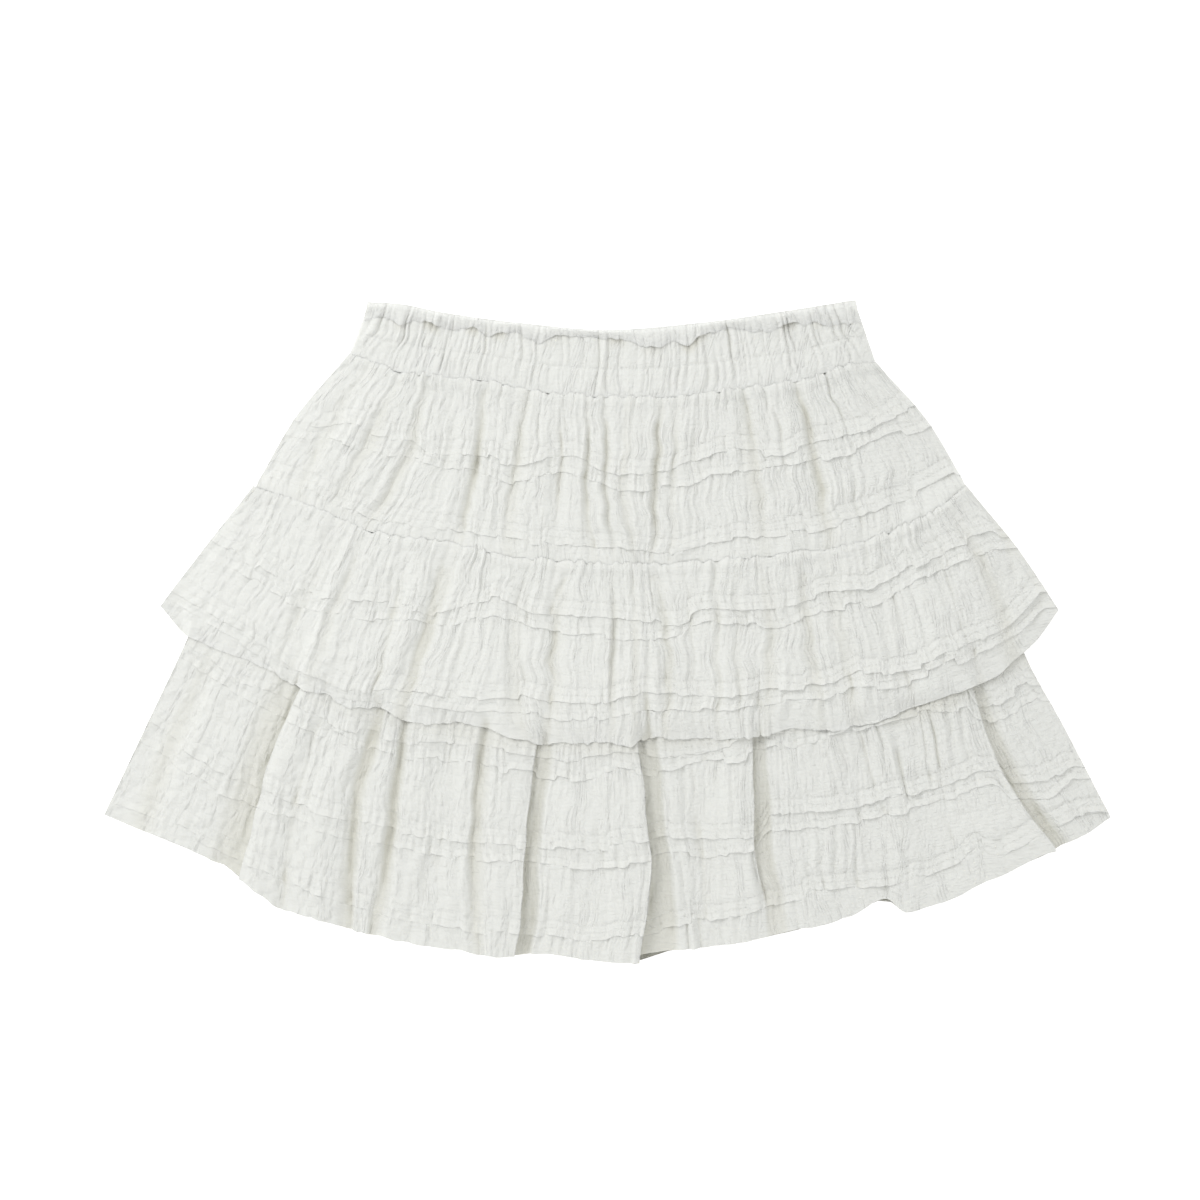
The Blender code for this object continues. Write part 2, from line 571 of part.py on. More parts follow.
def front_panel(name, pile, tier, column, rows, inner_rows, tucks, lift, collection, material):
    """A panel with folds, gathers and tucks, laid on the pile and added to it."""
    u = tier.columns(column)
    place = 2 * u / tier.last - 1
    levels = tuck_rows(rows, tucks, place)
    outer, inner = laid_wall(pile, tier, u, levels, inner_rows, lift)
    outer[..., 2] += tuck_rise(tucks, np.tile(place, (len(levels), 1)), levels)
    outer[..., 2] += crinkle_height(levels) * zigzag(len(u))
    pile.add(outer)
    return solid(name, outer, inner, collection, material)


class BackTier(Tier):
    """A back panel: the outline of a front one, with straight cloth between its two sides."""

    def across(self, table, u, v, soft):
        share = u / BACK_COLUMNS
        left = self.down(table, np.zeros(np.shape(u), int), v)
        right = self.down(table, np.full(np.shape(u), self.last), v)
        return left * (1 - share) + right * share


def back_panel(name, pile, tier, rows, collection, material):
    """A plain panel: both its faces follow the pile."""
    u = np.arange(BACK_COLUMNS + 1, dtype=float)
    levels = np.tile(np.array(rows)[:, None], (1, len(u)))
    outer, inner = laid_wall(pile, tier, u, levels, rows, np.zeros_like)
    pile.add(outer)
    return solid(name, outer, inner, collection, material)


def shifted(rail, by):
    """A rail moved up the skirt."""
    return [(x, y + by) for x, y in rail]


def ring(name, outer, inner, collection, material):
    """A closed band between an outer and an inner grid whose columns run once round it."""
    out, into = numbered(outer, inner)
    faces = []
    for grid, turned in ((out, False), (into, True)):
        after = np.roll(grid, -1, axis=1)
        quads = np.stack([grid[:-1], grid[1:], after[1:], after[:-1]], -1).reshape(-1, 4)
        faces += (quads[:, ::-1] if turned else quads).tolist()
    for row_out, row_in, turned in ((out[0], into[0], True), (out[-1], into[-1], False)):
        quads = np.stack([row_out, row_in, np.roll(row_in, -1), np.roll(row_out, -1)], -1)
        faces += (quads[:, ::-1] if turned else quads).tolist()
    return made(name, outer, inner, faces, collection, material)


def band_loop(left, right, low, high, end):
    """x and z round a flattened band: its front, its right end, its back and its left end."""
    middle = (low + high) / 2
    front = np.linspace(left + end, right - end, CASING_FRONT_COLUMNS + 1)
    back = np.linspace(right - end, left + end, CASING_BACK_COLUMNS + 1)
    turn = np.array(BAND_END) * end
    heights = np.array([high + (middle - high) * BAND_CORNER, middle, low + (middle - low) * BAND_CORNER])
    x = np.concatenate([front, right - turn, back, left + turn])
    z = np.concatenate([np.full(len(front), high), heights, np.full(len(back), low), heights[::-1]])
    return x, z


def casing_top():
    """Height of the casing's front face, without its gathers."""
    return CASING_REST + 2 * CASING_WALL + CASING_LUMEN


def waistband(collection, material):
    """The gathered casing: a flattened ring, pinched along the seam between its two channels."""
    top, seam = shifted(WAIST_TOP, -HEADER_TOP), shifted(WAIST_SEAM, GAP / 2)
    crests = zigzag(CASING_FRONT_COLUMNS + 1) * SEAM_CRINKLE
    outer, inner = [], []
    for row in CASING_ROWS:
        left = WAIST_TOP[0][0] + row.share * (YOKE_FOLDS[0].x_top - WAIST_TOP[0][0])
        right = WAIST_TOP[-1][0] + row.share * (YOKE_FOLDS[-1].x_top - WAIST_TOP[-1][0])
        x, z = band_loop(left, right, row.rest, casing_top() - row.pinch, CASING_WALL)
        z[: len(crests)] += crests
        y = curve(top, x) + (curve(seam, x) - curve(top, x)) * row.share
        outer.append(np.stack([x, y, z], -1))
        if row in (CASING_ROWS[0], CASING_ROWS[-1]):
            low = row.rest + CASING_WALL
            x, z = band_loop(left + CASING_WALL, right - CASING_WALL, low, low + CASING_LUMEN, CASING_WALL)
            y = curve(top, x) + (curve(seam, x) - curve(top, x)) * row.share
            inner.append(np.stack([x, y, z], -1))
    return ring("waistband", np.array(outer), np.array(inner), collection, material)


def header_front(collection, material):
    """The front header: a flap over the casing whose free edge hangs in waves."""
    left, right = WAIST_TOP[0][0], WAIST_TOP[-1][0]
    edge_left, edge_right = HEADER_EDGE[0].x, HEADER_EDGE[-1].x
    count = round((right - left) / HEADER_COLUMN)
    share = np.linspace(0, 1, count + 1)
    x_top = left + share * (right - left)
    x_edge = edge_left + share * (edge_right - edge_left)
    y_top = curve(WAIST_TOP, x_top)
    length = curve([(f.x, f.length) for f in HEADER_EDGE], x_edge)
    lift = curve([(f.x, f.lift) for f in HEADER_EDGE], x_edge)
    rest = casing_top() + SEAM_CRINKLE + GAP
    inner, outer = [], []
    for down in HEADER_ROWS:
        x = x_top + (x_edge - x_top) * down
        under = rest + lift * down**HEADER_CURL
        slope = np.gradient(under) / np.gradient(x)
        wall = CLOTH * np.sqrt(1 + slope**2)
        y = y_top - length * down
        inner.append(np.stack([x, y, under], -1))
        outer.append(np.stack([x, y, under + wall], -1))
    return solid("waist_frill_front", np.array(outer), np.array(inner), collection, material)


def header_back(collection, material):
    """The back header, pressed flat under the casing."""
    x = np.linspace(WAIST_TOP[0][0], WAIST_TOP[-1][0], CASING_BACK_COLUMNS + 1)
    y = curve(WAIST_TOP, x)
    rows = [np.stack([x, y - length, np.zeros_like(x)], -1) for length in (HEADER_BACK_TOP, HEADER_BACK)]
    inner = np.array(rows)
    outer = inner + np.array([0, 0, CLOTH])
    return solid("waist_frill_back", outer, inner, collection, material)


def cotton():
    """Washed cotton gauze."""
    material = bpy.data.materials.new("crinkled_cotton")
    material.use_nodes = True
    shader = material.node_tree.nodes["Principled BSDF"]
    shader.inputs["Base Color"].default_value = (*COTTON, 1)
    shader.inputs["Roughness"].default_value = COTTON_ROUGHNESS
    shader.inputs["Metallic"].default_value = 0
    material.diffuse_color = (*COTTON, 1)
    return material


def seam_lift(v):
    """The yoke's rise over the seam allowances at its foot."""
    t = np.clip((v - YOKE_LIFT_START) / (1 - YOKE_LIFT_START), 0, 1)
    return YOKE_SEAM_LIFT * t * t * (3 - 2 * t)


def main():
    """Clears the scene and lays the skirt down, piece by piece."""
    for piece in list(bpy.context.scene.objects):
        bpy.data.objects.remove(piece, do_unlink=True)
    collection = bpy.data.collections.new("tiered_ruffle_skirt")
    bpy.context.scene.collection.children.link(collection)
    material = cotton()

    waist, ruffle = shifted(WAIST_SEAM, -GAP / 2), shifted(RUFFLE_SEAM, -GAP / 2)
    yoke_foot = shifted(RUFFLE_SEAM, GAP / 2)
    seam_ends = UPPER_FOLDS[0].x_top + SIDE_INSET, UPPER_FOLDS[-1].x_top - SIDE_INSET

    ground = Pile()
    upper_outline = BackTier(UPPER_FOLDS, YOKE_STATIONS, ruffle)
    back_panel("upper_ruffle_back", ground, upper_outline, FLAT_ROWS, collection, material)
    lower_outline = BackTier(LOWER_FOLDS, LOWER_STATIONS, ruffle, seam_width=seam_ends)
    lower_outline.z[:] = 0
    back_panel("lower_ruffle_back", ground, lower_outline, SLUNG_ROWS, collection, material)
    lower = Tier(LOWER_FOLDS, LOWER_STATIONS, ruffle, seam_width=seam_ends)
    front_panel("lower_ruffle_front", ground, lower, LOWER_COLUMN, LOWER_ROWS, LOWER_INNER, LOWER_TUCKS,
                np.zeros_like, collection, material)
    upper = Tier(UPPER_FOLDS, YOKE_STATIONS, ruffle)
    front_panel("upper_ruffle_front", ground, upper, UPPER_COLUMN, UPPER_ROWS, UPPER_INNER, UPPER_TUCKS,
                np.zeros_like, collection, material)

    hips = Pile()
    yoke_outline = BackTier(YOKE_FOLDS, YOKE_STATIONS, waist, yoke_foot)
    yoke_outline.z[:] = 0
    back_panel("yoke_back", hips, yoke_outline, FLAT_ROWS, collection, material)
    yoke = Tier(YOKE_FOLDS, YOKE_STATIONS, waist, yoke_foot)
    front_panel("yoke_front", hips, yoke, YOKE_COLUMN, YOKE_ROWS, YOKE_INNER, YOKE_TUCKS, seam_lift,
                collection, material)

    waistband(collection, material)
    header_front(collection, material)
    header_back(collection, material)


main()
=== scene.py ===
"""A child's tiered ruffle skirt of crinkled cotton gauze, laid flat with its front up.

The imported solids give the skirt's form. This script lays a fine shell over each of them, with the folds,
creases, gathers, tucks and frill that the cloth has, sews it, and adds the finishes, the studio and the
camera. The waist is at +Y, the hem at -Y, and the front faces +Z. Sizes are millimetres unless a name or a
comment says otherwise, and meshes are written in metres.
"""

import logging
import math
from dataclasses import dataclass, field
from enum import Enum
from typing import Callable, NamedTuple, Sequence

import bpy
import numpy as np
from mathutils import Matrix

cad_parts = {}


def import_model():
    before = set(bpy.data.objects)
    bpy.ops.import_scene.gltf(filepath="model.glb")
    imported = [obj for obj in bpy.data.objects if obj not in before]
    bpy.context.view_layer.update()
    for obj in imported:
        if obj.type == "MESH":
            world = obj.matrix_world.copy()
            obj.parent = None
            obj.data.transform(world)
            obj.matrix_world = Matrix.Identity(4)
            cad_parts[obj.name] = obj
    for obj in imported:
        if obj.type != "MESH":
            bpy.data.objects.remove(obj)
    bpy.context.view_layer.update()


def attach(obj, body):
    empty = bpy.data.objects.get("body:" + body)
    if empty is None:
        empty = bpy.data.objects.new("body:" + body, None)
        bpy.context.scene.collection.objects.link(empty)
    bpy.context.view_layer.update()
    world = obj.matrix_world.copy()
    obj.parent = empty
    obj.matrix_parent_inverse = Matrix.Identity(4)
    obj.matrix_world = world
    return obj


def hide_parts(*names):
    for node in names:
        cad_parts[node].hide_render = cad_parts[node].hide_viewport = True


LOG = logging.getLogger("tiered_ruffle_skirt")
MM = 0.001

CLOTH = 0.8  # thickness of the gauze, puckered as it is
GAP = 0.3  # between two layers that lie on each other, and at a seam
REACH = 290.0  # gathers and pinches are drawn up over this much to each side of the middle
NO_STITCH = 9.0  # distance that stands for no line of stitches nearby

CASING_WALL = 2.0  # doubled cloth with the elastic inside
CASING_LUMEN = 0.6  # between the casing's front and back walls
CASING_REST = 1.3  # underside of the casing, clear of the header below it
CASING_LENGTH = 27.0
CASING_ENDS = (-127.0, 129.0)  # the grain at the casing's left and right end
CASING_STEP = 0.25  # its lower edge is sewn in this far below the yoke's upper edge
HEADER_TOP = 1.2  # the casing ends this far below the top of the header
HEADER_BACK = 8.0  # length of the back header
HEADER_FRONT = 9.0  # usual length of the front header
HEADER_SPAN = 31.5  # from the casing's top to its seam, at the sides

BROW_DROP = 1.6  # a fold bends down by this much towards its brow
YOKE_SEAM_LIFT = 0.9  # the yoke rides up over the seam allowances of both ruffles
UNDER_RUFFLE = 0.46  # share of the lower ruffle's length that the upper one covers
SIDE_INSET = 2.0  # the lower ruffle's top corners lie this far inside the upper one's
HALVES = (0.0, 0.5, 1.0)  # shares of a tier's length that its grain lines are read at
LOWER_STATIONS = (UNDER_RUFFLE, 0.73, 1.0)

TUCK_LIP = 1.1  # how far a crisp tuck's folded edge stands off the cloth below it
TUCK_DEPTH = 7.4  # from a tuck's line of stitches to its folded edge
TUCK_STITCH = 3.6  # a second line of stitches runs this far above the edge
TUCK_FOOT = 0.15  # the cloth under an edge starts this far below it ...
TUCK_UNDERCUT = 0.25  # ... and is tucked in by this much
TUCK_SLOPE = 3.0  # where the cloth is puckered, the edge slopes off over this length instead
BAND_SHIFT = 37.0  # below each tuck the gathers are those of another stretch of the cloth
SEAM_STEP = 0.45  # an upper panel's lower edge is sewn in this far below the next one's upper edge
SEAM_LAP = 1.4  # and reaches under it by this much
SEAM_SLOPE = 8.0  # it comes down to that level over this length
STITCH_GROOVE = 0.14  # a line of stitches pulls the cloth in by this much
STITCH_PITCH = 2.4  # from one stitch to the next
MOST_SLANT = 1.8  # on a steep slope the cloth's thickness upwards grows to at most this many times

Array = np.ndarray
Material = bpy.types.Material
Socket = bpy.types.NodeSocket
Rail = Sequence[tuple[float, float]]
Level = tuple[Array, Array]  # x, and the height of an edge there


class Lie(Enum):
    """How the cloth lies along a grain line. A brow is the turned edge of a fold that hangs over a gully."""

    SIDE = "side"
    FLAT = "flat"
    SWELL = "swell"
    FOLD = "fold"
    RIB = "rib"
    DIP = "dip"
    NOTCH = "notch"
    GULLY = "gully"
    BROW = "brow"


class Fold(NamedTuple):
    """One grain line: where it runs, how high the cloth stands along it, and where a free hem ends it."""

    lie: Lie
    x_top: float
    x_mid: float
    x_low: float
    z_top: float
    z_mid: float
    z_low: float
    y_low: float = 0


class Tuck(NamedTuple):
    """A tuck: whether its own line of stitches shows, and the (x, y) path of its folded edge."""

    first: bool
    edge: Rail


class Crease(NamedTuple):
    """A soft trough along an (x, y) path."""

    depth: float
    width: float
    path: Rail


class Frill(NamedTuple):
    """The header's free edge: how far it hangs, and how far it is lifted off the casing."""

    x: float
    length: float
    lift: float


def grain_lines(*rows: tuple) -> tuple[Fold, ...]:
    """A tier's grain lines from left to right, from rows that start with the name of their lie."""
    return tuple(Fold(Lie(lie), *places) for lie, *places in rows)


def creases_at(*rows: tuple) -> tuple[Crease, ...]:
    """Creases, from rows of a depth, a width and the points of a path."""
    return tuple(Crease(depth, width, path) for depth, width, *path in rows)


WAIST_TOP: Rail = (
    (-120, 164.5), (-104, 163.5), (-84, 159.5), (-44, 154), (0, 150.5), (46, 154), (86, 159.5),
    (124, 165.5),
)

WAIST_SEAM: Rail = (
    (-130, 139.5), (-116, 135), (-104, 130.5), (-84, 128), (-64, 126.5), (-39, 121.5), (-20, 119),
    (0, 118), (26, 118), (46, 119.5), (66, 122), (96, 126), (111, 131), (121, 134), (135, 135),
)

RUFFLE_SEAM: Rail = (
    (-178, 73), (-154, 65.5), (-136, 58.5), (-121, 51.5), (-104, 48), (-84, 45.5), (-64, 41.5),
    (-44, 37.5), (-1, 34.5), (21, 34), (46, 35.5), (96, 40), (116, 43), (136, 48.5), (154, 56), (166, 63),
    (180, 74),
)

YOKE_FOLDS = grain_lines(
    ("side", -129, -157, -176, 0, 0, 0), ("flat", -125, -148, -166, 0.8, 1.5, 1),
    ("gully", -118, -140, -155, 0.8, 0.8, 0.8), ("swell", -110, -130, -147, 1.5, 2.5, 2),
    ("gully", -101, -119, -138, 1, 0.8, 1.2), ("fold", -95, -108, -129, 1.8, 3, 2),
    ("gully", -90, -99, -121, 0.8, 0.6, 0.6), ("fold", -83, -89, -109, 1.8, 3, 2.2),
    ("dip", -73, -80, -96, 1.2, 1.8, 1.6), ("fold", -67, -73, -84, 1.8, 3, 2.2),
    ("gully", -60, -66, -73, 0.6, 0.4, 0.5), ("fold", -54, -60, -66, 1.8, 3, 2.2),
    ("swell", -48, -53, -58, 1.4, 2.4, 2), ("gully", -40, -47, -50, 0.8, 1, 1.2),
    ("fold", -31, -35, -37, 2, 3.5, 2.6), ("dip", -21, -23, -25, 1.2, 1.8, 1.6),
    ("fold", -15, -16, -17, 1.8, 3, 2.2), ("gully", -10, -11, -6, 0.8, 0.8, 0.8),
    ("fold", -5, -6, -1, 1.6, 2.6, 2), ("gully", -1, -1, 4, 0.6, 0.4, 0.8),
    ("fold", 5, 3, 9, 1.6, 2.4, 1.8), ("gully", 11, 7, 14, 0.8, 1.2, 0.8),
    ("fold", 19, 17, 18, 1.8, 3.4, 2.2), ("gully", 28, 25, 22, 0.5, 0.2, 0.3),
    ("fold", 32, 29, 27, 1.4, 2, 1.8), ("gully", 35, 33, 31, 0.8, 1.2, 1.4),
    ("fold", 41, 39, 39, 1.8, 3.2, 2.4), ("dip", 47, 46, 48, 1.2, 2.2, 2),
    ("fold", 56, 57, 61, 1.8, 3.4, 2.4), ("gully", 67, 75, 80, 0.8, 0.8, 1.4),
    ("fold", 74, 81, 88, 1.8, 3, 2.4), ("fold", 87, 94, 99, 1.8, 3.4, 2.6),
    ("gully", 94, 104, 111, 0.6, 0.5, 0.8), ("fold", 101, 112, 121, 1.8, 3.4, 2.6),
    ("swell", 111, 128, 139, 1.6, 3, 2.4), ("dip", 120, 141, 151, 1.4, 2, 1.6),
    ("flat", 127, 152, 166, 1, 1.4, 1.2), ("side", 134, 161, 179, 0, 0, 0),
)

UPPER_FOLDS = grain_lines(
    ("side", -177, -201, -224, 0, 0, 0, 12.5), ("flat", -169, -190, -210, 0.2, 0.3, 0.6, -2.5),
    ("swell", -158, -176, -196, 0.4, 1.3, 1.4, -8.5), ("swell", -145, -164, -181, 0.5, 2, 1.5, -14.5),
    ("gully", -131, -151, -166, 0.3, 0.8, 0.8, -20.5), ("fold", -126, -144, -158, 0.5, 2, 1.5, -27),
    ("gully", -121, -136, -151, 0.2, 0.4, 0.8, -29), ("fold", -113, -127, -139, 0.5, 2.2, 2, -33),
    ("dip", -104, -117, -131, 0.4, 1.2, 1.5, -37.5), ("fold", -91, -104, -119, 0.6, 3, 3, -38),
    ("brow", -84, -95, -112, 0.6, 3, 2.5, -39), ("gully", -74, -89, -104, 0.1, 0, 0, -44.5),
    ("fold", -67, -82, -97, 0.6, 2.5, 2.2, -45.5), ("dip", -58, -63, -75, 0.4, 1.8, 2, -45.5),
    ("fold", -49, -56, -66, 0.6, 2.5, 2.2, -47), ("gully", -38, -47, -41, 0.3, 1, 0.4, -54.5),
    ("fold", -29, -34, -31, 0.5, 2.2, 1.8, -56.5), ("gully", -18, -28, -24, 0.2, 0.8, 1.5, -56),
    ("fold", -11, -16, -11, 0.6, 2.5, 2, -56), ("fold", -3, -2, -2, 0.6, 2.8, 2.2, -55.5),
    ("gully", 2, 2, 2, 0.1, 0.2, 0.6, -55.5), ("rib", 8, 9, 8, 0.5, 1.6, 1.6, -56.5),
    ("gully", 12, 13, 13, 0.3, 0.8, 1.2, -56.5), ("fold", 17, 21, 20, 0.6, 3.2, 2.6, -53.5),
    ("brow", 20, 26, 25, 0.6, 3.2, 2.4, -53), ("gully", 24, 31, 28, 0.1, 0.2, 0.3, -53),
    ("fold", 30, 37, 36, 0.6, 2.4, 2, -53.5), ("dip", 37, 41, 40, 0.3, 1.4, 1.4, -53.5),
    ("fold", 46, 48, 49, 0.6, 2.4, 2, -53.5), ("gully", 55, 55, 55, 0.2, 0.6, 0.6, -54),
    ("fold", 60, 59, 61, 0.6, 2, 2, -53.5), ("gully", 65, 64, 66, 0.2, 0.8, 1.2, -53),
    ("fold", 71, 73, 73, 0.6, 2.2, 2, -52.5), ("gully", 76, 81, 79, 0.2, 0.5, 0.8, -51.5),
    ("fold", 88, 91, 93, 0.6, 3, 2.2, -48.5), ("gully", 95, 101, 109, 0.1, 0.3, 1, -49.5),
    ("fold", 101, 107, 116, 0.6, 2.2, 2, -49), ("gully", 109, 115, 125, 0.2, 0.8, 0.8, -47),
    ("fold", 121, 129, 139, 0.6, 2.5, 2.5, -43.5), ("dip", 136, 143, 154, 0.4, 2, 2, -37.5),
    ("fold", 152, 164, 174, 0.6, 2.5, 2.5, -30.5), ("fold", 162, 179, 190, 0.5, 2.6, 2.8, -24),
    ("gully", 169, 191, 204, 0.2, 0.2, 0.3, -14.5), ("flat", 174, 199, 215, 0.4, 2, 2.4, -5),
    ("side", 179, 205, 226, 0, 0, 0, 10.5),
)

# On the lower ruffle, x_top and z_top are read at the upper ruffle's hem. A brow that stands past the gully
# beside it hangs over that gully.
LOWER_FOLDS = grain_lines(
    ("side", -210, -231, -252, 0, 0, 0, -92), ("gully", -197, -218, -234, 0.2, 1, 1.5, -99.5),
    ("swell", -181, -200, -218, 1.4, 3.4, 4, -106), ("gully", -160, -178, -191, 1.2, 1.2, 1, -117),
    ("gully", -153, -171.5, -184, 1.2, 1.2, 1, -122), ("brow", -154, -172.5, -184.5, 5.5, 6, 6, -123.5),
    ("fold", -149, -166, -177, 5.5, 6, 6.5, -130), ("dip", -141, -156, -165, 4, 4, 4.5, -138),
    ("fold", -129, -140, -148, 6, 7, 7, -143), ("brow", -123, -132, -138, 5.5, 6.5, 6, -146),
    ("gully", -114, -126, -128, 1.6, 1.6, 1.4, -149), ("fold", -109, -116, -122, 5.5, 5.5, 3.5, -150.5),
    ("gully", -102, -107, -118, 1.6, 1.6, 1.4, -151.5), ("fold", -93, -97, -105, 5.5, 6, 5.5, -154.5),
    ("dip", -80, -84, -89, 4, 4, 4.5, -157), ("fold", -69, -72, -73, 5.5, 5.5, 5, -159.5),
    ("gully", -63, -67, -64, 1.5, 2.5, 4.5, -161.5), ("fold", -52, -52, -55, 5.5, 7, 7, -162.5),
    ("brow", -36, -41, -45.5, 6, 7.5, 8, -162.5), ("gully", -36.5, -42, -46.5, 1.6, 1.6, 1.4, -162),
    ("gully", -30, -35.5, -39, 1.6, 1.6, 1.4, -161.5), ("brow", -26, -31.5, -35, 6, 7.5, 8, -161),
    ("dip", -10, -10, -13, 5.5, 7, 7.5, -163.5), ("fold", 7, 11, 7, 7, 9.5, 10, -165.5),
    ("brow", 16, 21.5, 15.5, 7, 9.5, 10, -165.3), ("gully", 14, 19.5, 13.5, 1.2, 1.2, 1, -162),
    ("gully", 23.5, 28.5, 33, 1.4, 1.4, 1.2, -159.5), ("fold", 29, 34, 40, 4.8, 5.2, 4.2, -159),
    ("dip", 46, 46, 49, 3, 2.5, 2.5, -158), ("fold", 64, 64, 69, 6, 7.5, 5.5, -155.5),
    ("brow", 73, 72, 80, 6, 7.5, 5, -153.5), ("gully", 72.5, 72, 83, 1.4, 1.6, 2.6, -152.5),
    ("gully", 78, 79, 90, 1.6, 1.8, 2.8, -151), ("fold", 82, 84, 96, 4.2, 4.6, 4, -149.5),
    ("swell", 111, 118, 121, 4.5, 5.5, 5.5, -142), ("notch", 125, 132, 139, 3.5, 4.5, 3.5, -133.5),
    ("fold", 136, 148, 148, 5, 6, 6.5, -140.5), ("dip", 154, 159, 164, 4, 5, 5.5, -136.5),
    ("fold", 169, 180, 190, 6, 7.5, 7.5, -125), ("brow", 179, 194, 223, 6, 7.5, 7.5, -110.5),
    ("gully", 180, 195, 223.5, 1.5, 1, 0.5, -109), ("gully", 182.5, 198.5, 226.5, 1.5, 1.2, 0.6, -107.5),
    ("swell", 190, 208, 236, 3, 3.6, 3.2, -104), ("side", 205, 229, 252, 0, 0, 0, -93.5),
)

YOKE_TUCKS = (
    Tuck(True, (
        (-156, 106), (-143, 103), (-129, 103.5), (-116, 96.5), (-99, 95.5), (-91, 90.5), (-66, 88),
        (-46, 82), (-26, 87), (-13, 85.5), (9, 79.5), (24, 79.5), (46, 86.5), (64, 90.5), (84, 89.5),
        (102, 94), (129, 100.5), (152, 111.5), (160, 113),
    )),
    Tuck(False, (
        (-160, 98), (-136, 95.5), (-119, 89.5), (-101, 87), (-79, 81.5), (-66, 79.5), (-46, 73.5),
        (-24, 78.5), (-4, 74.5), (7, 70), (24, 70.5), (41, 72), (52, 78), (84, 82), (101, 85), (134, 94),
        (160, 104.5),
    )),
    Tuck(True, (
        (-175, 79), (-150, 71), (-136, 65), (-116, 57), (-94, 51), (-70, 49.5), (-41, 45), (-4, 41.5),
        (16, 41), (22, 38.5), (26, 37.8), (46, 44), (81, 47.5), (106, 51.5), (126, 58), (152, 67),
        (176, 79),
    )),
)

UPPER_TUCKS = (
    Tuck(True, (
        (-198, 46), (-175, 31), (-154, 19.5), (-129, 15.5), (-101, 13), (-83, 9.5), (-59, 15.5), (-31, 8),
        (2, 5.5), (31, 4.5), (51, 11.5), (81, 10.5), (111, 18), (131, 20.5), (146, 28), (164, 38),
        (189, 46.5),
    )),
    Tuck(False, (
        (-202, 38), (-175, 23), (-154, 12), (-129, 8), (-101, 5), (-83, 2), (-59, 7.5), (-31, 0.5),
        (2, -2.5), (31, -3.5), (51, 4), (81, 2.5), (111, 10.5), (131, 13), (146, 20), (164, 30), (189, 39),
        (198, 41),
    )),
    Tuck(True, (
        (-216, 22), (-190, 5), (-165, -12), (-150, -21), (-129, -29.5), (-100, -30.5), (-74, -33.5),
        (-41, -33), (-24, -36.5), (-9, -37.5), (21, -32), (56, -32.5), (86, -28.5), (106, -28),
        (126, -20.5), (144, -18.5), (161, -14.5), (179, -6), (201, 5.5), (215, 19),
    )),
    Tuck(False, (
        (-220, 16), (-192, -1.5), (-167, -18.5), (-150, -27.5), (-129, -35), (-100, -37), (-74, -40),
        (-41, -40.5), (-24, -43), (-9, -44), (21, -39), (56, -40), (86, -35.5), (106, -35), (126, -28),
        (144, -26), (161, -21.5), (179, -13), (203, -2), (219, 12),
    )),
)

LOWER_TUCKS = (
    Tuck(True, (
        (-212, -4), (-180, -27), (-150, -40), (-129, -49), (-101, -55), (-60, -58), (-21, -64), (6, -61),
        (29, -63), (59, -57), (81, -51), (104, -48), (121, -43.5), (159, -33), (178, -30), (186, -37.5),
        (211, -26),
    )),
    Tuck(False, (
        (-216, -12), (-180, -35), (-150, -48), (-129, -57), (-102, -63), (-74, -65.5), (-44, -70),
        (-11, -73.5), (5, -69.5), (29, -71), (44, -66), (59, -64.5), (81, -58.5), (104, -55), (121, -50.5),
        (159, -41), (178, -38), (186, -45.5), (216, -33.5),
    )),
    Tuck(True, (
        (-228, -46), (-205, -63), (-191, -72), (-160, -84), (-131, -93.5), (-100, -99.5), (-76, -104.5),
        (-44, -107), (-11, -109.5), (14, -106), (41, -103.5), (71, -103.5), (80, -93), (121, -87),
        (146, -82), (171, -75.5), (194, -68.5), (202, -76), (219, -74.5), (229, -66),
    )),
    Tuck(False, (
        (-232, -55), (-205, -72), (-191, -81), (-160, -93), (-131, -102), (-100, -108.5), (-76, -113.5),
        (-44, -115.5), (-11, -118.5), (14, -115), (41, -112), (71, -112), (80, -101.5), (121, -95.5),
        (146, -91), (171, -84), (194, -77), (202, -84.5), (219, -83), (233, -74),
    )),
    Tuck(True, (
        (-248, -85), (-224, -96), (-180, -117), (-140, -133), (-96, -145), (-54, -151), (-11, -153.5),
        (6, -152), (30, -149), (56, -144), (66, -142), (90, -135), (111, -129.5), (135, -127),
        (156, -123.5), (171, -117.5), (186, -109.5), (196, -111), (219, -100.5), (240, -90),
    )),
)

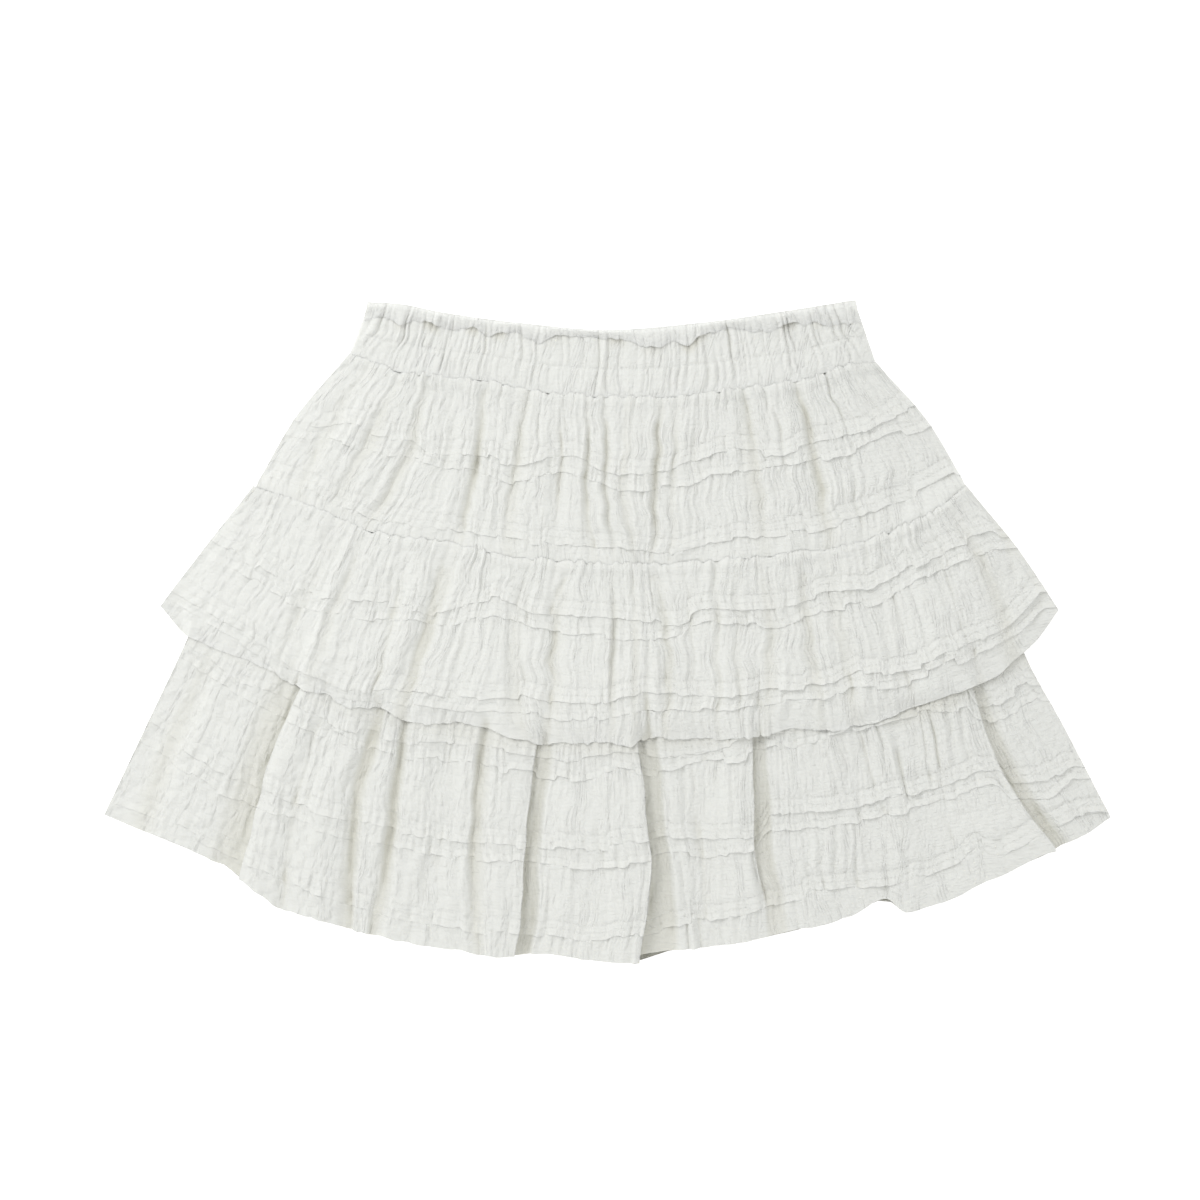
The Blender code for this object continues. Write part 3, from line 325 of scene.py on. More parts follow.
YOKE_CREASES = creases_at(
    (0.9, 1.7, (-61, 123), (-70, 100)), (1, 2, (-65, 95), (-64, 58)), (0.7, 1.5, (-100, 126), (-118, 103)),
    (0.5, 1.3, (-105, 115), (-114, 95)), (0.8, 1.7, (-93, 118), (-96, 95), (-98, 85)),
    (0.6, 1.4, (-76, 123), (-80, 105)), (0.9, 1.9, (-110, 85), (-118, 68), (-125, 48)),
    (0.8, 1.7, (-136, 113), (-144, 100), (-148, 80)), (1.3, 2, (2, 115), (-1, 95), (-3, 70)),
    (1.3, 2.4, (26, 120), (24, 90), (22, 43)), (1, 1.7, (-40, 118), (-44, 95)),
    (0.6, 1.3, (-45, 118), (-51, 95)), (1.3, 2, (67, 118), (72, 100), (75, 89)),
    (1.3, 1.9, (94, 123), (100, 108), (104, 93)), (0.9, 1.7, (104, 93), (107, 75), (110, 60)),
    (0.9, 1.5, (-12, 90), (-10, 65), (-8, 58)), (0.7, 1.4, (5, 70), (7, 53)),
    (0.8, 1.5, (16, 55), (20, 36)), (0.6, 1.4, (11, 110), (7, 93)), (0.8, 1.5, (-5, 50), (-6, 36)),
    (0.7, 1.4, (84, 85), (87, 70)), (0.5, 1.3, (65, 90), (67, 60)), (0.8, 1.5, (152, 76), (153, 65)),
    (0.6, 1.5, (160, 100), (169, 79)), (0.4, 1.3, (-21, 115), (-23, 80)), (0.4, 1.3, (41, 115), (39, 80)),
    (0.4, 1.3, (126, 90), (132, 65)), (0.5, 1.3, (-131, 100), (-136, 75)),
    (0.5, 1.3, (-84, 85), (-88, 55)), (0.5, 1.4, (96, 85), (100, 60)),
)

UPPER_CREASES = creases_at(
    (2.6, 3, (-76, 40), (-84, 20), (-91, -5), (-98, -25), (-101, -44)), (0.8, 1.6, (-82, 35), (-88, 15)),
    (1.2, 2, (-124, 43), (-129, 28), (-136, 15), (-143, 5)),
    (0.6, 1.5, (-131, 20), (-139, 5), (-141, -10)), (0.8, 1.6, (-153, 15), (-156, 0), (-165, -15)),
    (0.8, 1.7, (-173, 65), (-181, 48)), (0.6, 1.5, (-188, 53), (-198, 35)),
    (0.6, 1.5, (-63, 35), (-62, -10)), (0.8, 1.6, (-48, 15), (-51, -20)),
    (1.3, 1.9, (-43, -15), (-39, -30)), (1.3, 2, (-18, 31), (-28, 15), (-29, 3)),
    (0.7, 1.4, (-15, 15), (-19, -5)), (1.4, 1.9, (2, 23), (4, -5), (1, -26)),
    (1.1, 1.5, (7, 15), (8, -20)), (0.7, 1.4, (13, 35), (12, 15)),
    (1.9, 2.4, (22, 36), (27, 20), (30, -7)), (1.4, 2, (30, -7), (28, -30), (28, -53)),
    (0.6, 1.4, (38, 31), (41, 15)), (0.7, 1.4, (55, 15), (57, -30)), (0.7, 1.4, (62, 23), (63, -5)),
    (0.9, 1.7, (79, 38), (83, 15), (86, 0), (88, -22)), (1.9, 2.4, (96, 35), (99, 20), (102, 4)),
    (0.8, 1.6, (102, 4), (106, -30)), (0.7, 1.4, (102, 35), (104, 23)), (0.6, 1.4, (115, 23), (119, 0)),
    (0.8, 1.5, (119, -17), (125, -46)), (1.5, 2, (194, 34), (198, 15), (202, 3), (207, -7)),
    (1.6, 2.4, (200, 46), (204, 20)), (1, 1.7, (219, 18), (209, -5)), (0.8, 1.5, (-40, 23), (-40, -5)),
    (0.9, 1.4, (74, -30), (77, -41)), (0.5, 1.5, (181, 35), (189, 15)), (0.5, 1.5, (140, 15), (148, -15)),
)

LOWER_CREASES = creases_at(
    (2.2, 3, (-153, -30), (-161, -45), (-169, -65), (-174, -74)),
    (1.3, 2, (-175, -77), (-181, -100), (-188, -119)), (0.9, 1.8, (-200, -12), (-206, -35), (-211, -46)),
    (0.6, 1.5, (-175, -16), (-184, -35)), (0.7, 1.5, (-229, -61), (-234, -76)),
    (0.6, 1.4, (-205, -79), (-209, -91)), (1, 1.7, (-193, -102), (-191, -118)),
    (2.2, 3, (-113, -41), (-119, -55), (-124, -67), (-128, -82)),
    (1.8, 2.2, (-125, -85), (-128, -107), (-128, -147)),
    (1.5, 2, (-103, -46), (-104, -70), (-107, -97), (-112, -127)), (0.6, 1.5, (-139, -52), (-145, -75)),
    (0.6, 1.7, (-76, -55), (-78, -85)), (1.4, 1.6, (-64, -52), (-65, -75), (-68, -88)),
    (0.5, 1.5, (-9, -59), (-10, -85)), (0.5, 1.4, (0, -79), (2, -101)),
    (0.5, 1.4, (-10, -119), (-9, -141)), (0.6, 1.5, (8, -57), (12, -81)),
    (0.6, 1.6, (41, -80), (47, -115), (49, -150)), (0.8, 1.6, (34, -57), (32, -85)),
    (2.2, 1.5, (126, -49), (131, -70), (140, -96)), (1.2, 1.3, (140, -96), (152, -118)),
    (1.8, 1.4, (143, -55), (149, -80), (152, -88)), (1.6, 1.3, (156, -38), (159, -62), (164, -86)),
    (1.4, 2, (181, -37), (189, -61), (196, -75), (202, -86)),
    (1.4, 2.6, (214, -73), (217, -81), (214, -86), (220, -101), (224, -108)),
    (1.3, 1.7, (87, -119), (89, -140)), (0.8, 1.4, (96, -119), (98, -131)),
    (0.6, 1.5, (155, -109), (161, -122)), (0.9, 1.5, (185, -109), (189, -116)),
    (0.5, 1.6, (-90, -110), (-92, -140)), (0.4, 1.6, (-60, -100), (-61, -135)),
    (0.9, 1.3, (110, -60), (116, -85)), (1, 1.3, (170, -42), (176, -68), (183, -84)),
    (0.8, 1.3, (98, -55), (101, -88)), (0.7, 1.3, (120, -98), (126, -128)),
    (0.8, 1.3, (168, -92), (176, -112)), (0.7, 1.3, (206, -34), (214, -64)),
)

HEADER_EDGE = tuple(Frill(*row) for row in (
    (-122, 8.5, 0.4), (-112, 8, 0.8), (-104, 10, 2.4), (-96, 6.5, 1), (-88, 7, 3.4), (-80, 8.5, 0.6),
    (-74, 7.5, 1), (-67, 5.5, 3.2), (-61, 8, 0.6), (-54, 5.5, 3.4), (-47, 5, 1), (-41, 6, 0.8),
    (-34, 9.5, 1.6), (-24, 4, 2.2), (-15, 4, 1.4), (-4, 5.5, 0.6), (4, 4, 3), (13, 7.5, 1.6),
    (23, 10, 2.4), (33, 7.5, 1.4), (41, 11, 3.6), (48, 6, 2.6), (56, 4.5, 1), (66, 5.5, 0.8),
    (76, 8.5, 1.6), (84, 9, 1.2), (91, 5, 3.6), (98, 8, 0.8), (105, 8, 2.4), (112, 11, 1.2),
    (119, 10.5, 2), (127, 11, 0.5),
))

CASING_SLITS = (-96, -83, -46, -38, -6, -1, 5, 32, 36, 40, 62, 91)  # where two gathers part

# How much of a covering hem's shade falls on the cloth below it, by x.
HEM_SHADE: Rail = (
    (-250, 0.15), (-150, 0.15), (-80, 0.3), (0, 0.35), (120, 0.35), (165, 0.8), (205, 0.9), (240, 0.4),
)

# How far the front's hem curls up off the back's, by x.
HEM_CURL: Rail = (
    (-250, 0), (60, 0), (84, 0.6), (110, 0.4), (124, 0), (146, 0), (160, 0.9), (172, 0.6), (182, 1.2),
    (206, 0), (222, 0.8), (236, 1.2), (248, 0.4), (252, 0),
)

# How crisply the tucks lie, by x: puckered and half sunk on the left, pressed flat on the right.
CRISPNESS: Rail = ((-250, 0.3), (-150, 0.3), (-80, 0.5), (-20, 0.75), (60, 0.9), (140, 1), (250, 1))


def hermite_turns(xs: Array, ys: Array) -> Array:
    """Slopes that keep a smooth curve through points from overshooting.

    Args:
        xs: the points' places, rising.
        ys: their heights, or a table with one row of heights for each curve.

    Returns:
        A slope for each height.
    """
    slope = np.diff(ys, axis=-1) / np.diff(xs)
    turn = np.zeros(np.shape(ys))
    before, after = slope[..., :-1], slope[..., 1:]
    total = before + after
    safe = np.where(total == 0, 1, total)
    turn[..., 1:-1] = np.where(before * after > 0, 2 * before * after / safe, 0)
    turn[..., 0], turn[..., -1] = slope[..., 0], slope[..., -1]
    return turn


def hermite(at: Array, ends: Level, heights: Level, turns: Level) -> Array:
    """The smooth curve between two points.

    Args:
        at: where to read it.
        ends: the two points' places.
        heights: and heights.
        turns: and slopes.

    Returns:
        The curve's height at each place.
    """
    step = ends[1] - ends[0]
    t = np.clip((at - ends[0]) / step, 0, 1)
    bend = step * t * (1 - t)
    return heights[0] + (heights[1] - heights[0]) * smooth(t) + bend * (turns[0] * (1 - t) - turns[1] * t)


def smooth(t: Array | float) -> Array:
    """A share from 0 to 1 that leaves and arrives softly."""
    t = np.clip(t, 0, 1)
    return t * t * (3 - 2 * t)


def bell(away: Array | float, width: float) -> Array:
    """A share that is 1 where nothing is away, and falls off over a width."""
    return np.exp(-((away / width) ** 2))


def curve(rail: Rail, at: Array) -> Array:
    """A smooth rail through (x, y) points, read at x, and level beyond its ends."""
    xs, ys = np.array(rail, float).T
    turn = hermite_turns(xs, ys)
    i = np.clip(np.searchsorted(xs, at, side="right") - 1, 0, len(xs) - 2)
    ends, heights, turns = ((table[i], table[i + 1]) for table in (xs, ys, turn))
    return hermite(np.clip(at, xs[0], xs[-1]), ends, heights, turns)


def shifted(rail: Rail, by: float) -> Rail:
    """A rail moved up the skirt."""
    return [(x, y + by) for x, y in rail]


def along_line(points: Array) -> Array:
    """How far along a line each of its points lies."""
    return np.concatenate([[0], np.cumsum(np.linalg.norm(np.diff(points, axis=0), axis=1))])


@dataclass(frozen=True)
class Unevenness:
    """Smooth seeded noise over the cloth, between -1 and 1, for what no two skirts share."""

    seed: int
    across: float  # distance between two of its points across the cloth
    down: float  # and along it
    lattice_size: int = 512

    def at(self, x: Array, y: Array) -> Array:
        """The noise at places on the cloth."""
        size = self.lattice_size
        lattice = np.random.default_rng(self.seed).uniform(-1, 1, (size, size))
        s, t = np.asarray(x) / self.across + size, np.asarray(y) / self.down + size
        i, j = np.floor(s).astype(int), np.floor(t).astype(int)
        s, t = smooth(s - i), smooth(t - j)
        low, high = (lattice[i % size, (j + k) % size] for k in (0, 1))
        low_next, high_next = (lattice[(i + 1) % size, (j + k) % size] for k in (0, 1))
        return (low * (1 - s) + low_next * s) * (1 - t) + (high * (1 - s) + high_next * s) * t


@dataclass(frozen=True)
class Gathers:
    """Rounded ridges side by side, with sharp valleys between them, as drawn-up cloth has."""

    seed: int
    pitch: float  # usual distance from one valley to the next
    height: float  # usual height of a ridge
    deep_share: float = 0.12  # share of the valleys that open into a slit
    slits: Sequence[float] = ()  # places that are always slits
    steady: float = 0.4  # share of the height that is left where the gathers fade
    roundness: float = 0.95  # 1 for round valleys, and less for sharper ones
    sample: float = 0.1

    def profile(self, variant: int) -> Level:
        """One row of gathers.

        Args:
            variant: 0 or 1; the two share their slits and little else.

        Returns:
            Places across the cloth, and the height at each.
        """
        random = np.random.default_rng((self.seed, variant))
        count = int(3 * REACH / self.pitch)
        widths = self.pitch * np.exp(random.normal(0, 0.34, count))
        valleys = np.cumsum(widths) - REACH
        crests = self.height * random.uniform(0.45, 1.25, count) * np.minimum(widths / self.pitch, 1.3)
        place = np.arange(-REACH, REACH, self.sample)
        i = np.clip(np.searchsorted(valleys, place) - 1, 0, count - 2)
        share = np.clip((place - valleys[i]) / (valleys[i + 1] - valleys[i]), 0, 1)
        height = crests[i] * np.sin(np.pi * share) ** self.roundness
        away = np.abs(place[:, None] - valleys[random.random(count) < self.deep_share]).min(axis=1)
        cut = 0.7 * bell(away, 1.0)
        for slit in self.slits:
            cut = np.maximum(cut, 0.9 * bell(place - slit, 0.7))
        return place, height - self.height * cut

    def at(self, grain: Array, down: Array) -> Array:
        """Height of the gathers, which come and go along the cloth.

        Args:
            grain: place across the cloth.
            down: place along it.

        Returns:
            Height over the plain cloth.
        """
        sway = 1.1 * Unevenness(self.seed + 7, 9, 12).at(grain, down)
        mixing = Unevenness(self.seed + 8, 2.0 * self.pitch, 5 * self.pitch).at(grain, down)
        share = smooth(0.5 + 1.2 * mixing)
        one, other = (np.interp(grain + sway, *self.profile(variant)) for variant in (0, 1))
        fading = Unevenness(self.seed + 9, 2.2 * self.pitch, 3.5 * self.pitch).at(grain, down)
        strength = self.steady + (1 - self.steady) * smooth(0.5 + 1.1 * fading)
        return strength * (one * (1 - share) + other * share)


class Tier:
    """One tier's cloth, as a map from (u, v) to a place: u counts grain lines, v runs down from 0 to 1."""

    bank_lines = 2  # a gully's banks are looked for among so many lines to each side
    # deep_gully: a gully this far below its banks gets the full painted shade on its floor.
    deep_gully = 3.5  # a gully this far below its banks is quite hollow

    def __init__(self, folds: Sequence[Fold], stations: Sequence[float], top: Rail, low: Rail | None = None,
                 seam_ends: tuple[float, float] | None = None) -> None:
        """Reads the tier's tables.

        Args:
            folds: its grain lines, from left to right.
            stations: shares of the length that the lines' three places are read at.
            top: the seam that it hangs from.
            low: the seam that it ends at, or None for a free hem at the lines' y_low.
            seam_ends: the top corners' x, for a tier whose first station is below its seam.
        """
        x, z = (np.array([fold[k : k + 3] for fold in folds], float) for k in (1, 4))
        if seam_ends:
            share = (x[:, 0] - x[0, 0]) / (x[-1, 0] - x[0, 0])
            x = np.column_stack([seam_ends[0] + share * (seam_ends[1] - seam_ends[0]), x])
            z = np.column_stack([np.zeros(len(z)), z])
            stations = (0.0, *stations)
        self.x, self.z, self.stations = x, z, np.array(stations)
        self.top, self.low = top, low
        self.y_low = np.array([fold.y_low for fold in folds], float)
        self.last = len(folds) - 1
        brow, gully = (np.array([fold.lie is lie for fold in folds]) for lie in (Lie.BROW, Lie.GULLY))
        self.z[brow] -= BROW_DROP
        reach = self.bank_lines
        padded = np.pad(self.z, [(reach, reach), (0, 0)], mode="edge")
        banks = np.max([padded[k : k + len(z)] for k in range(2 * reach + 1)], axis=0)
        # Painted shade on the floor of each gully, the fuller the further it lies below its banks.
        self.gully_shade = ((banks - self.z) / self.deep_gully).clip(0, 1) * gully[:, None]
        self.over = brow[1:] & ~gully[:-1]
        self.over_back = brow[:-1] & ~gully[1:]
        self.falls = gully[1:] & ~gully[:-1] & ~brow[:-1]
        self.climbs = gully[:-1] & ~gully[1:] & ~brow[1:]

    def down(self, table: Array, line: Array, v: Array) -> Array:
        """A grain line's value at share v of the length."""
        turn = hermite_turns(self.stations, table)
        i = np.clip(np.searchsorted(self.stations, v, side="right") - 1, 0, len(self.stations) - 2)
        ends = self.stations[i], self.stations[i + 1]
        return hermite(v, ends, (table[line, i], table[line, i + 1]), (turn[line, i], turn[line, i + 1]))

    def across(self, table: Array, u: Array, v: Array, soft: bool) -> Array:
        """A value between two grain lines.

        Args:
            table: the value at each line and station.
            u: place across the cloth, in lines.
            v: place along it.
            soft: whether it is rounded at both lines, or bends over towards a brow, and isn't straight.

        Returns:
            The value at each place.
        """
        line = np.clip(np.floor(u).astype(int), 0, self.last - 1)
        t = u - line
        if soft:
            rounding = (self.over[line], self.over_back[line], self.falls[line], self.climbs[line])
            shapes = (t**3, 1 - (1 - t) ** 3, smooth((t - 0.4) / 0.6), smooth(t / 0.6))
            t = np.select(rounding, shapes, smooth(t))
        return self.down(table, line, v) * (1 - t) + self.down(table, line + 1, v) * t

    def hem(self, u: Array) -> Array:
        """y of the tier's lower edge."""
        if self.low is not None:
            return curve(self.low, self.across(self.x, u, np.ones_like(u), False))
        lines = np.arange(self.last + 1, dtype=float)
        return curve(list(zip(lines, self.y_low)), u)

    def head(self, u: Array) -> Array:
        """y of the tier's upper edge."""
        return curve(self.top, self.across(self.x, u, np.zeros_like(u), False))

    def place(self, u: Array, v: Array) -> tuple[Array, Array]:
        """x and y of the cloth."""
        x = self.across(self.x, u, v, False)
        return x, self.head(u) + (self.hem(u) - self.head(u)) * v

    def rise(self, u: Array, v: Array) -> Array:
        """Height of the large folds over what the cloth lies on."""
        return self.across(self.z, u, v, True)

    def stray(self, u: Array, v: Array, seed: int) -> Array:
        """How far the grain lines stray sideways, which dies out at the seams and sides."""
        grain, down = self.grain(u), 200 * v
        away = 1.3 * Unevenness(seed, 30, 22).at(grain, down)
        away += 0.6 * Unevenness(seed + 1, 9, 11).at(grain, down)
        inside = smooth(np.minimum(u, self.last - u) / 2) * smooth(v / 0.15)
        return away * inside * (smooth((1 - v) / 0.15) if self.low is not None else 1)

    def grain(self, u: Array) -> Array:
        """Place across the cloth, which only ever rises."""
        middle = np.maximum.accumulate(self.x[:, -2] + 0.5 * np.arange(self.last + 1))
        return np.interp(u, np.arange(self.last + 1), middle - middle.mean())

    def columns(self, width: float) -> Array:
        """u of every column: one on each grain line, and more between them where the cloth is wide."""
        found = [0.0]
        for line, gap in enumerate(np.abs(np.diff(self.x[:, -2])).clip(4 * width)):
            count = round(gap / width)
            found += [line + (step + 1) / count for step in range(count)]
        return np.array(found)

    def level_of(self, rail: Rail, u: Array) -> Array:
        """The share of the length at which each column crosses a rail."""
        v = np.full_like(u, 0.5)
        for _ in range(12):
            x = self.across(self.x, u, v, False)
            v = 0.5 * v + 0.5 * ((curve(rail, x) - self.head(u)) / (self.hem(u) - self.head(u))).clip(0, 1)
        return v


class BackTier(Tier):
    """A back panel: the outline of a front one, with straight cloth between its two sides."""

    def across(self, table: Array, u: Array, v: Array, soft: bool) -> Array:
        """A value between the two sides."""
        share = u / self.last
        left, right = (self.down(table, np.full(np.shape(u), line), v) for line in (0, self.last))
        return left * (1 - share) + right * share

    def hem(self, u: Array) -> Array:
        """y of the lower edge, read at the place across that a front's grain lines have there."""
        if self.low is not None:
            return super().hem(u)
        x = self.across(self.x, u, np.ones_like(u), False)
        order = np.argsort(self.x[:, -1])
        return np.interp(x, self.x[order, -1], self.y_low[order])


class Pile:
    """What has been laid down so far, as a map of its height."""

    cell = 1.0
    half = np.array([270.0, 180.0])
    close, usual, wide = reaches = (1, 2, 5)  # cells by which the height is spread and then evened out

    def __init__(self) -> None:
        """Starts with the bare surface, on which cloth lies without a gap."""
        self.peak = np.full((2 * self.half / self.cell).astype(int) + 1, -GAP)
        self.maps = dict.fromkeys(self.reaches, self.peak)

    def cells(self, x: Array, y: Array) -> Array:
        """Places in the map, in cells."""
        return (np.stack([x, y]) + self.half.reshape(2, *[1] * np.ndim(x))) / self.cell

    def height(self, x: Array, y: Array, reach: int = usual) -> Array:
        """The pile's height.

        Args:
            x: places across.
            y: and up the skirt.
            reach: one of the pile's reaches, over which the height is evened out.

        Returns:
            A height at each place, never under what is there.
        """
        table = self.maps[reach]
        place = self.cells(x, y)
        most = np.array(self.peak.shape).reshape(2, *[1] * np.ndim(x)) - 2
        i, j = np.clip(place.astype(int), 0, most)
        s, t = place[0] - i, place[1] - j
        near = table[i, j] * (1 - t) + table[i, j + 1] * t
        far = table[i + 1, j] * (1 - t) + table[i + 1, j + 1] * t
        return near * (1 - s) + far * s

    def add(self, outer: Array) -> None:
        """Takes in a panel's upper surface, given as a grid of points."""
        dense = refined(refined(outer, 0, self.cell / 2), 1, self.cell / 2)
        x, y, z = dense.reshape(-1, 3).T
        i, j = np.rint(self.cells(x, y)).astype(int)
        np.maximum.at(self.peak, (i, j), z)
        self.maps = {reach: self.spread(reach) for reach in self.reaches}

    def spread(self, reach: int) -> Array:
        """The map's highest points, spread by so many cells and then evened out over as many."""
        table, offsets = self.peak, range(-reach, reach + 1)
        for kind in (np.max, np.mean):
            for axis in (0, 1):
                table = kind([np.roll(table, k, axis) for k in offsets], axis=0)
        return table


def refined(grid: Array, axis: int, step: float) -> Array:
    """A grid of points with more of them along one axis, at most a step apart."""
    lengths = np.linalg.norm(np.diff(grid, axis=axis), axis=-1)
    counts = np.ceil(np.percentile(lengths, 98, axis=1 - axis) / step).astype(int).clip(1)
    start = np.repeat(np.arange(len(counts)), counts)
    share = np.concatenate([np.arange(n) / n for n in counts])
    share = share.reshape([-1 if a == axis else 1 for a in range(3)])
    low, high = np.take(grid, start, axis), np.take(grid, start + 1, axis)
    return np.concatenate([low + (high - low) * share, np.take(grid, [-1], axis)], axis)


def thinned(count: int, step: int) -> Array:
    """Every so many numbers below a count, and always the last one."""
    return np.unique(np.append(np.arange(0, count, step), count - 1))


def lowest_near(grid: Array, rows: int, columns: int) -> Array:
    """Each value's lowest neighbour within so many rows and columns."""
    for axis, reach in ((0, rows), (1, columns)):
        padded = np.pad(grid, [(reach, reach) if a == axis else (0, 0) for a in (0, 1)], mode="edge")
        size = grid.shape[axis]
        grid = np.min([np.take(padded, range(k, k + size), axis) for k in range(2 * reach + 1)], axis=0)
    return grid


def joined(*parts: Array | float) -> Array:
    """Points or marks, from a table or one number for each of their values."""
    return np.stack(np.broadcast_arrays(*parts), -1)


def painted_fold_shade(z: Array, width: float) -> Array:
    """How deep each point of a grid lies among the points beside it.

    Args:
        z: heights, in rows across the cloth.
        width: distance between columns.

    Returns:
        A share of painted shade for each point, from 0 on a ridge to 1 in a narrow fold.
    """
    share = np.zeros_like(z)
    for reach, full in ((3.0, 3.2), (8.0, 3.0)):
        cells = round(reach / width)
        padded = np.pad(z, [(0, 0), (cells + 1, cells)], mode="edge").cumsum(axis=1)
        mean = (padded[:, 2 * cells + 1 :] - padded[:, : -2 * cells - 1]) / (2 * cells + 1)
        share = np.maximum(share, (mean - z) / full)
    return smooth((share - 0.12) / 0.88)


def evened(x: Array, z: Array) -> Level:
    """An edge's height without its small waves, and never under the edge.

    Args:
        x: places along the edge.
        z: its height there.

    Returns:
        Even steps of x, and the height at each.
    """
    step, cells = 0.5, 5
    place = np.arange(x.min() - 10, x.max() + 10, step)
    highest = -lowest_near(-np.interp(place, x, z)[None, :], 0, cells)[0]
    kernel = np.ones(2 * cells + 1) / (2 * cells + 1)
    return place, np.convolve(np.pad(highest, cells, mode="edge"), kernel, mode="valid")


def trough(creases: Sequence[Crease], x: Array, y: Array) -> Array:
    """Depth of a set of creases at places on the cloth, fading out at each end of a crease."""
    depth = np.zeros_like(x)
    for crease in creases:
        path = np.array(crease.path, float)
        low, high = path.min(axis=0) - 3 * crease.width, path.max(axis=0) + 3 * crease.width
        near = (x > low[0]) & (x < high[0]) & (y > low[1]) & (y < high[1])
        px, py = x[near], y[near]
        lengths = np.linalg.norm(np.diff(path, axis=0), axis=1)
        best, along_best, before = np.full(px.shape, np.inf), np.zeros(px.shape), 0.0
        for start, step, length in zip(path[:-1], np.diff(path, axis=0), lengths):
            along = np.clip(((px - start[0]) * step[0] + (py - start[1]) * step[1]) / length**2, 0, 1)
            away = np.hypot(px - start[0] - along * step[0], py - start[1] - along * step[1])
            closer = away < best
            best = np.where(closer, away, best)
            along_best = np.where(closer, before + along * length, along_best)
            before += length
        ends = smooth(np.minimum(along_best, before - along_best) / (0.3 * before) + 0.15)
        uneven = 0.8 + 0.45 * Unevenness(5, 5, 6).at(px, py)
        spread = crease.width * (1 + 0.3 * Unevenness(6, 7, 9).at(px, py))
        depth[near] = np.maximum(depth[near], crease.depth * uneven * ends * bell(best, spread))
    return depth


def stood(name: str, data: bpy.types.ID) -> bpy.types.Object:
    """Makes an object of a mesh, lamp or camera and puts it in the scene."""
    thing = bpy.data.objects.new(name, data)
    bpy.context.scene.collection.objects.link(thing)
    return thing


def piece_of(name: str, points: Sequence[Array], faces: list[list[int]], material: Material
             ) -> bpy.types.Object:
    """Makes a piece of points in millimetres, smoothly shaded."""
    mesh = bpy.data.meshes.new(name)
    mesh.from_pydata((np.concatenate(points) * MM).tolist(), [], faces)
    mesh.update()
    mesh.shade_smooth()
    mesh.materials.append(material)
    return stood(name, mesh)


def declare(piece: bpy.types.Object) -> None:
    """Rides a finished piece on the frame and reports it."""
    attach(piece, "root")
    LOG.info("%s: %d faces", piece.name, len(piece.data.polygons))


class Mesh:
    """Collects the points and faces of one piece of cloth, and makes its object."""

    def __init__(self, name: str) -> None:
        """Starts an empty mesh for the named piece."""
        self.name = name
        self.points: list[Array] = []
        self.marks: list[Array] = []
        self.faces: list[list[int]] = []
        self.count = 0

    def grid(self, points: Sequence[Array], marks: Sequence[Array], outward: bool, closed: bool = False
             ) -> Array:
        """Adds a grid of points with a face between every four.

        Args:
            points: places, in rows that run down the cloth.
            marks: for each point, its place on the cut (two values), the distance to the nearest line of
            stitches, how flat a tuck presses the cloth there, and how much painted shade it gets, most deep
            in a fold and under an overhanging edge.
            outward: whether this is the cloth's outer side.
            closed: whether the last column joins the first.

        Returns:
            The points' numbers, in the same rows.
        """
        rows, columns = np.shape(points)[:2]
        numbers = self.count + np.arange(rows * columns).reshape(rows, columns)
        self.count += rows * columns
        self.points.append(np.reshape(points, (-1, 3)))
        self.marks.append(np.reshape(marks, (-1, 5)))
        near = numbers if closed else numbers[:, :-1]
        far = np.roll(numbers, -1, axis=1) if closed else numbers[:, 1:]
        quads = np.stack([near[:-1], near[1:], far[1:], far[:-1]], -1).reshape(-1, 4)
        self.faces += (quads if outward else quads[:, ::-1]).tolist()
        return numbers

    def strip(self, outer: Array, inner: Array, outer_at: Array, inner_at: Array,
              turned: bool) -> None:
        """Closes the wall between an outer and an inner edge whose points may differ in number.

        Args:
            outer: numbers of the outer edge's points, in order.
            inner: and of the inner edge's.
            outer_at: how far along the edge each outer point lies.
            inner_at: and each inner point.
            turned: whether the faces are turned round.
        """
        i = j = 0
        while i < len(outer) - 1 or j < len(inner) - 1:
            if j == len(inner) - 1 or (i < len(outer) - 1 and outer_at[i + 1] <= inner_at[j + 1]):
                face = [int(outer[i]), int(inner[j]), int(outer[i + 1])]
                i += 1
            else:
                face = [int(outer[i]), int(inner[j]), int(inner[j + 1])]
                j += 1
            self.faces.append(face[::-1] if turned else face)

    def wall(self, outer: Array, inner: Array, across: Level, down: Level) -> None:
        """Closes the wall round two grids that lie on each other.

        Args:
            outer: numbers of the outer grid's points.
            inner: and of the inner grid's.
            across: where the outer and the inner columns lie across the cloth.
            down: where their rows lie along it, as one place a row or as a row of places.
        """
        for edge, turned in ((0, False), (-1, True)):
            self.strip(outer[edge], inner[edge], *across, turned)
        for edge, turned in ((0, True), (-1, False)):
            places = (at.reshape(len(at), -1)[:, edge] for at in down)
            self.strip(outer[:, edge], inner[:, edge], *places, turned)

    def made(self, material: Material) -> bpy.types.Object:
        """Makes the object, with its place on the cut as a UV map and its other marks as attributes."""
        piece = piece_of(self.name, self.points, self.faces, material)
        mesh, marks = piece.data, np.concatenate(self.marks)
        corners = np.empty(len(mesh.loops), np.int32)
        mesh.loops.foreach_get("vertex_index", corners)
        cut = mesh.uv_layers.new(name="cut")
        cut.data.foreach_set("uv", (marks[corners, :2] * MM).astype(np.float32).ravel())
        for name, column in (("stitch", 2), ("pressed", 3), ("painted_shade", 4)):
            layer = mesh.attributes.new(name, "FLOAT", "POINT")
            layer.data.foreach_set("value", marks[:, column].astype(np.float32))
        return piece

    def finish(self, material: Material, node: str, flat: tuple[float, float]) -> None:
        """Makes the piece of cloth, hides the solid that it stands for, and rides the piece on the frame.

        Args:
            material: the cloth's.
            node: the solid that the piece stands for.
            flat: width and length of the cut that shows.
        """
        piece = self.made(material)
        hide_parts(node)
        declare(piece)
        tuple(side * MM for side in flat)


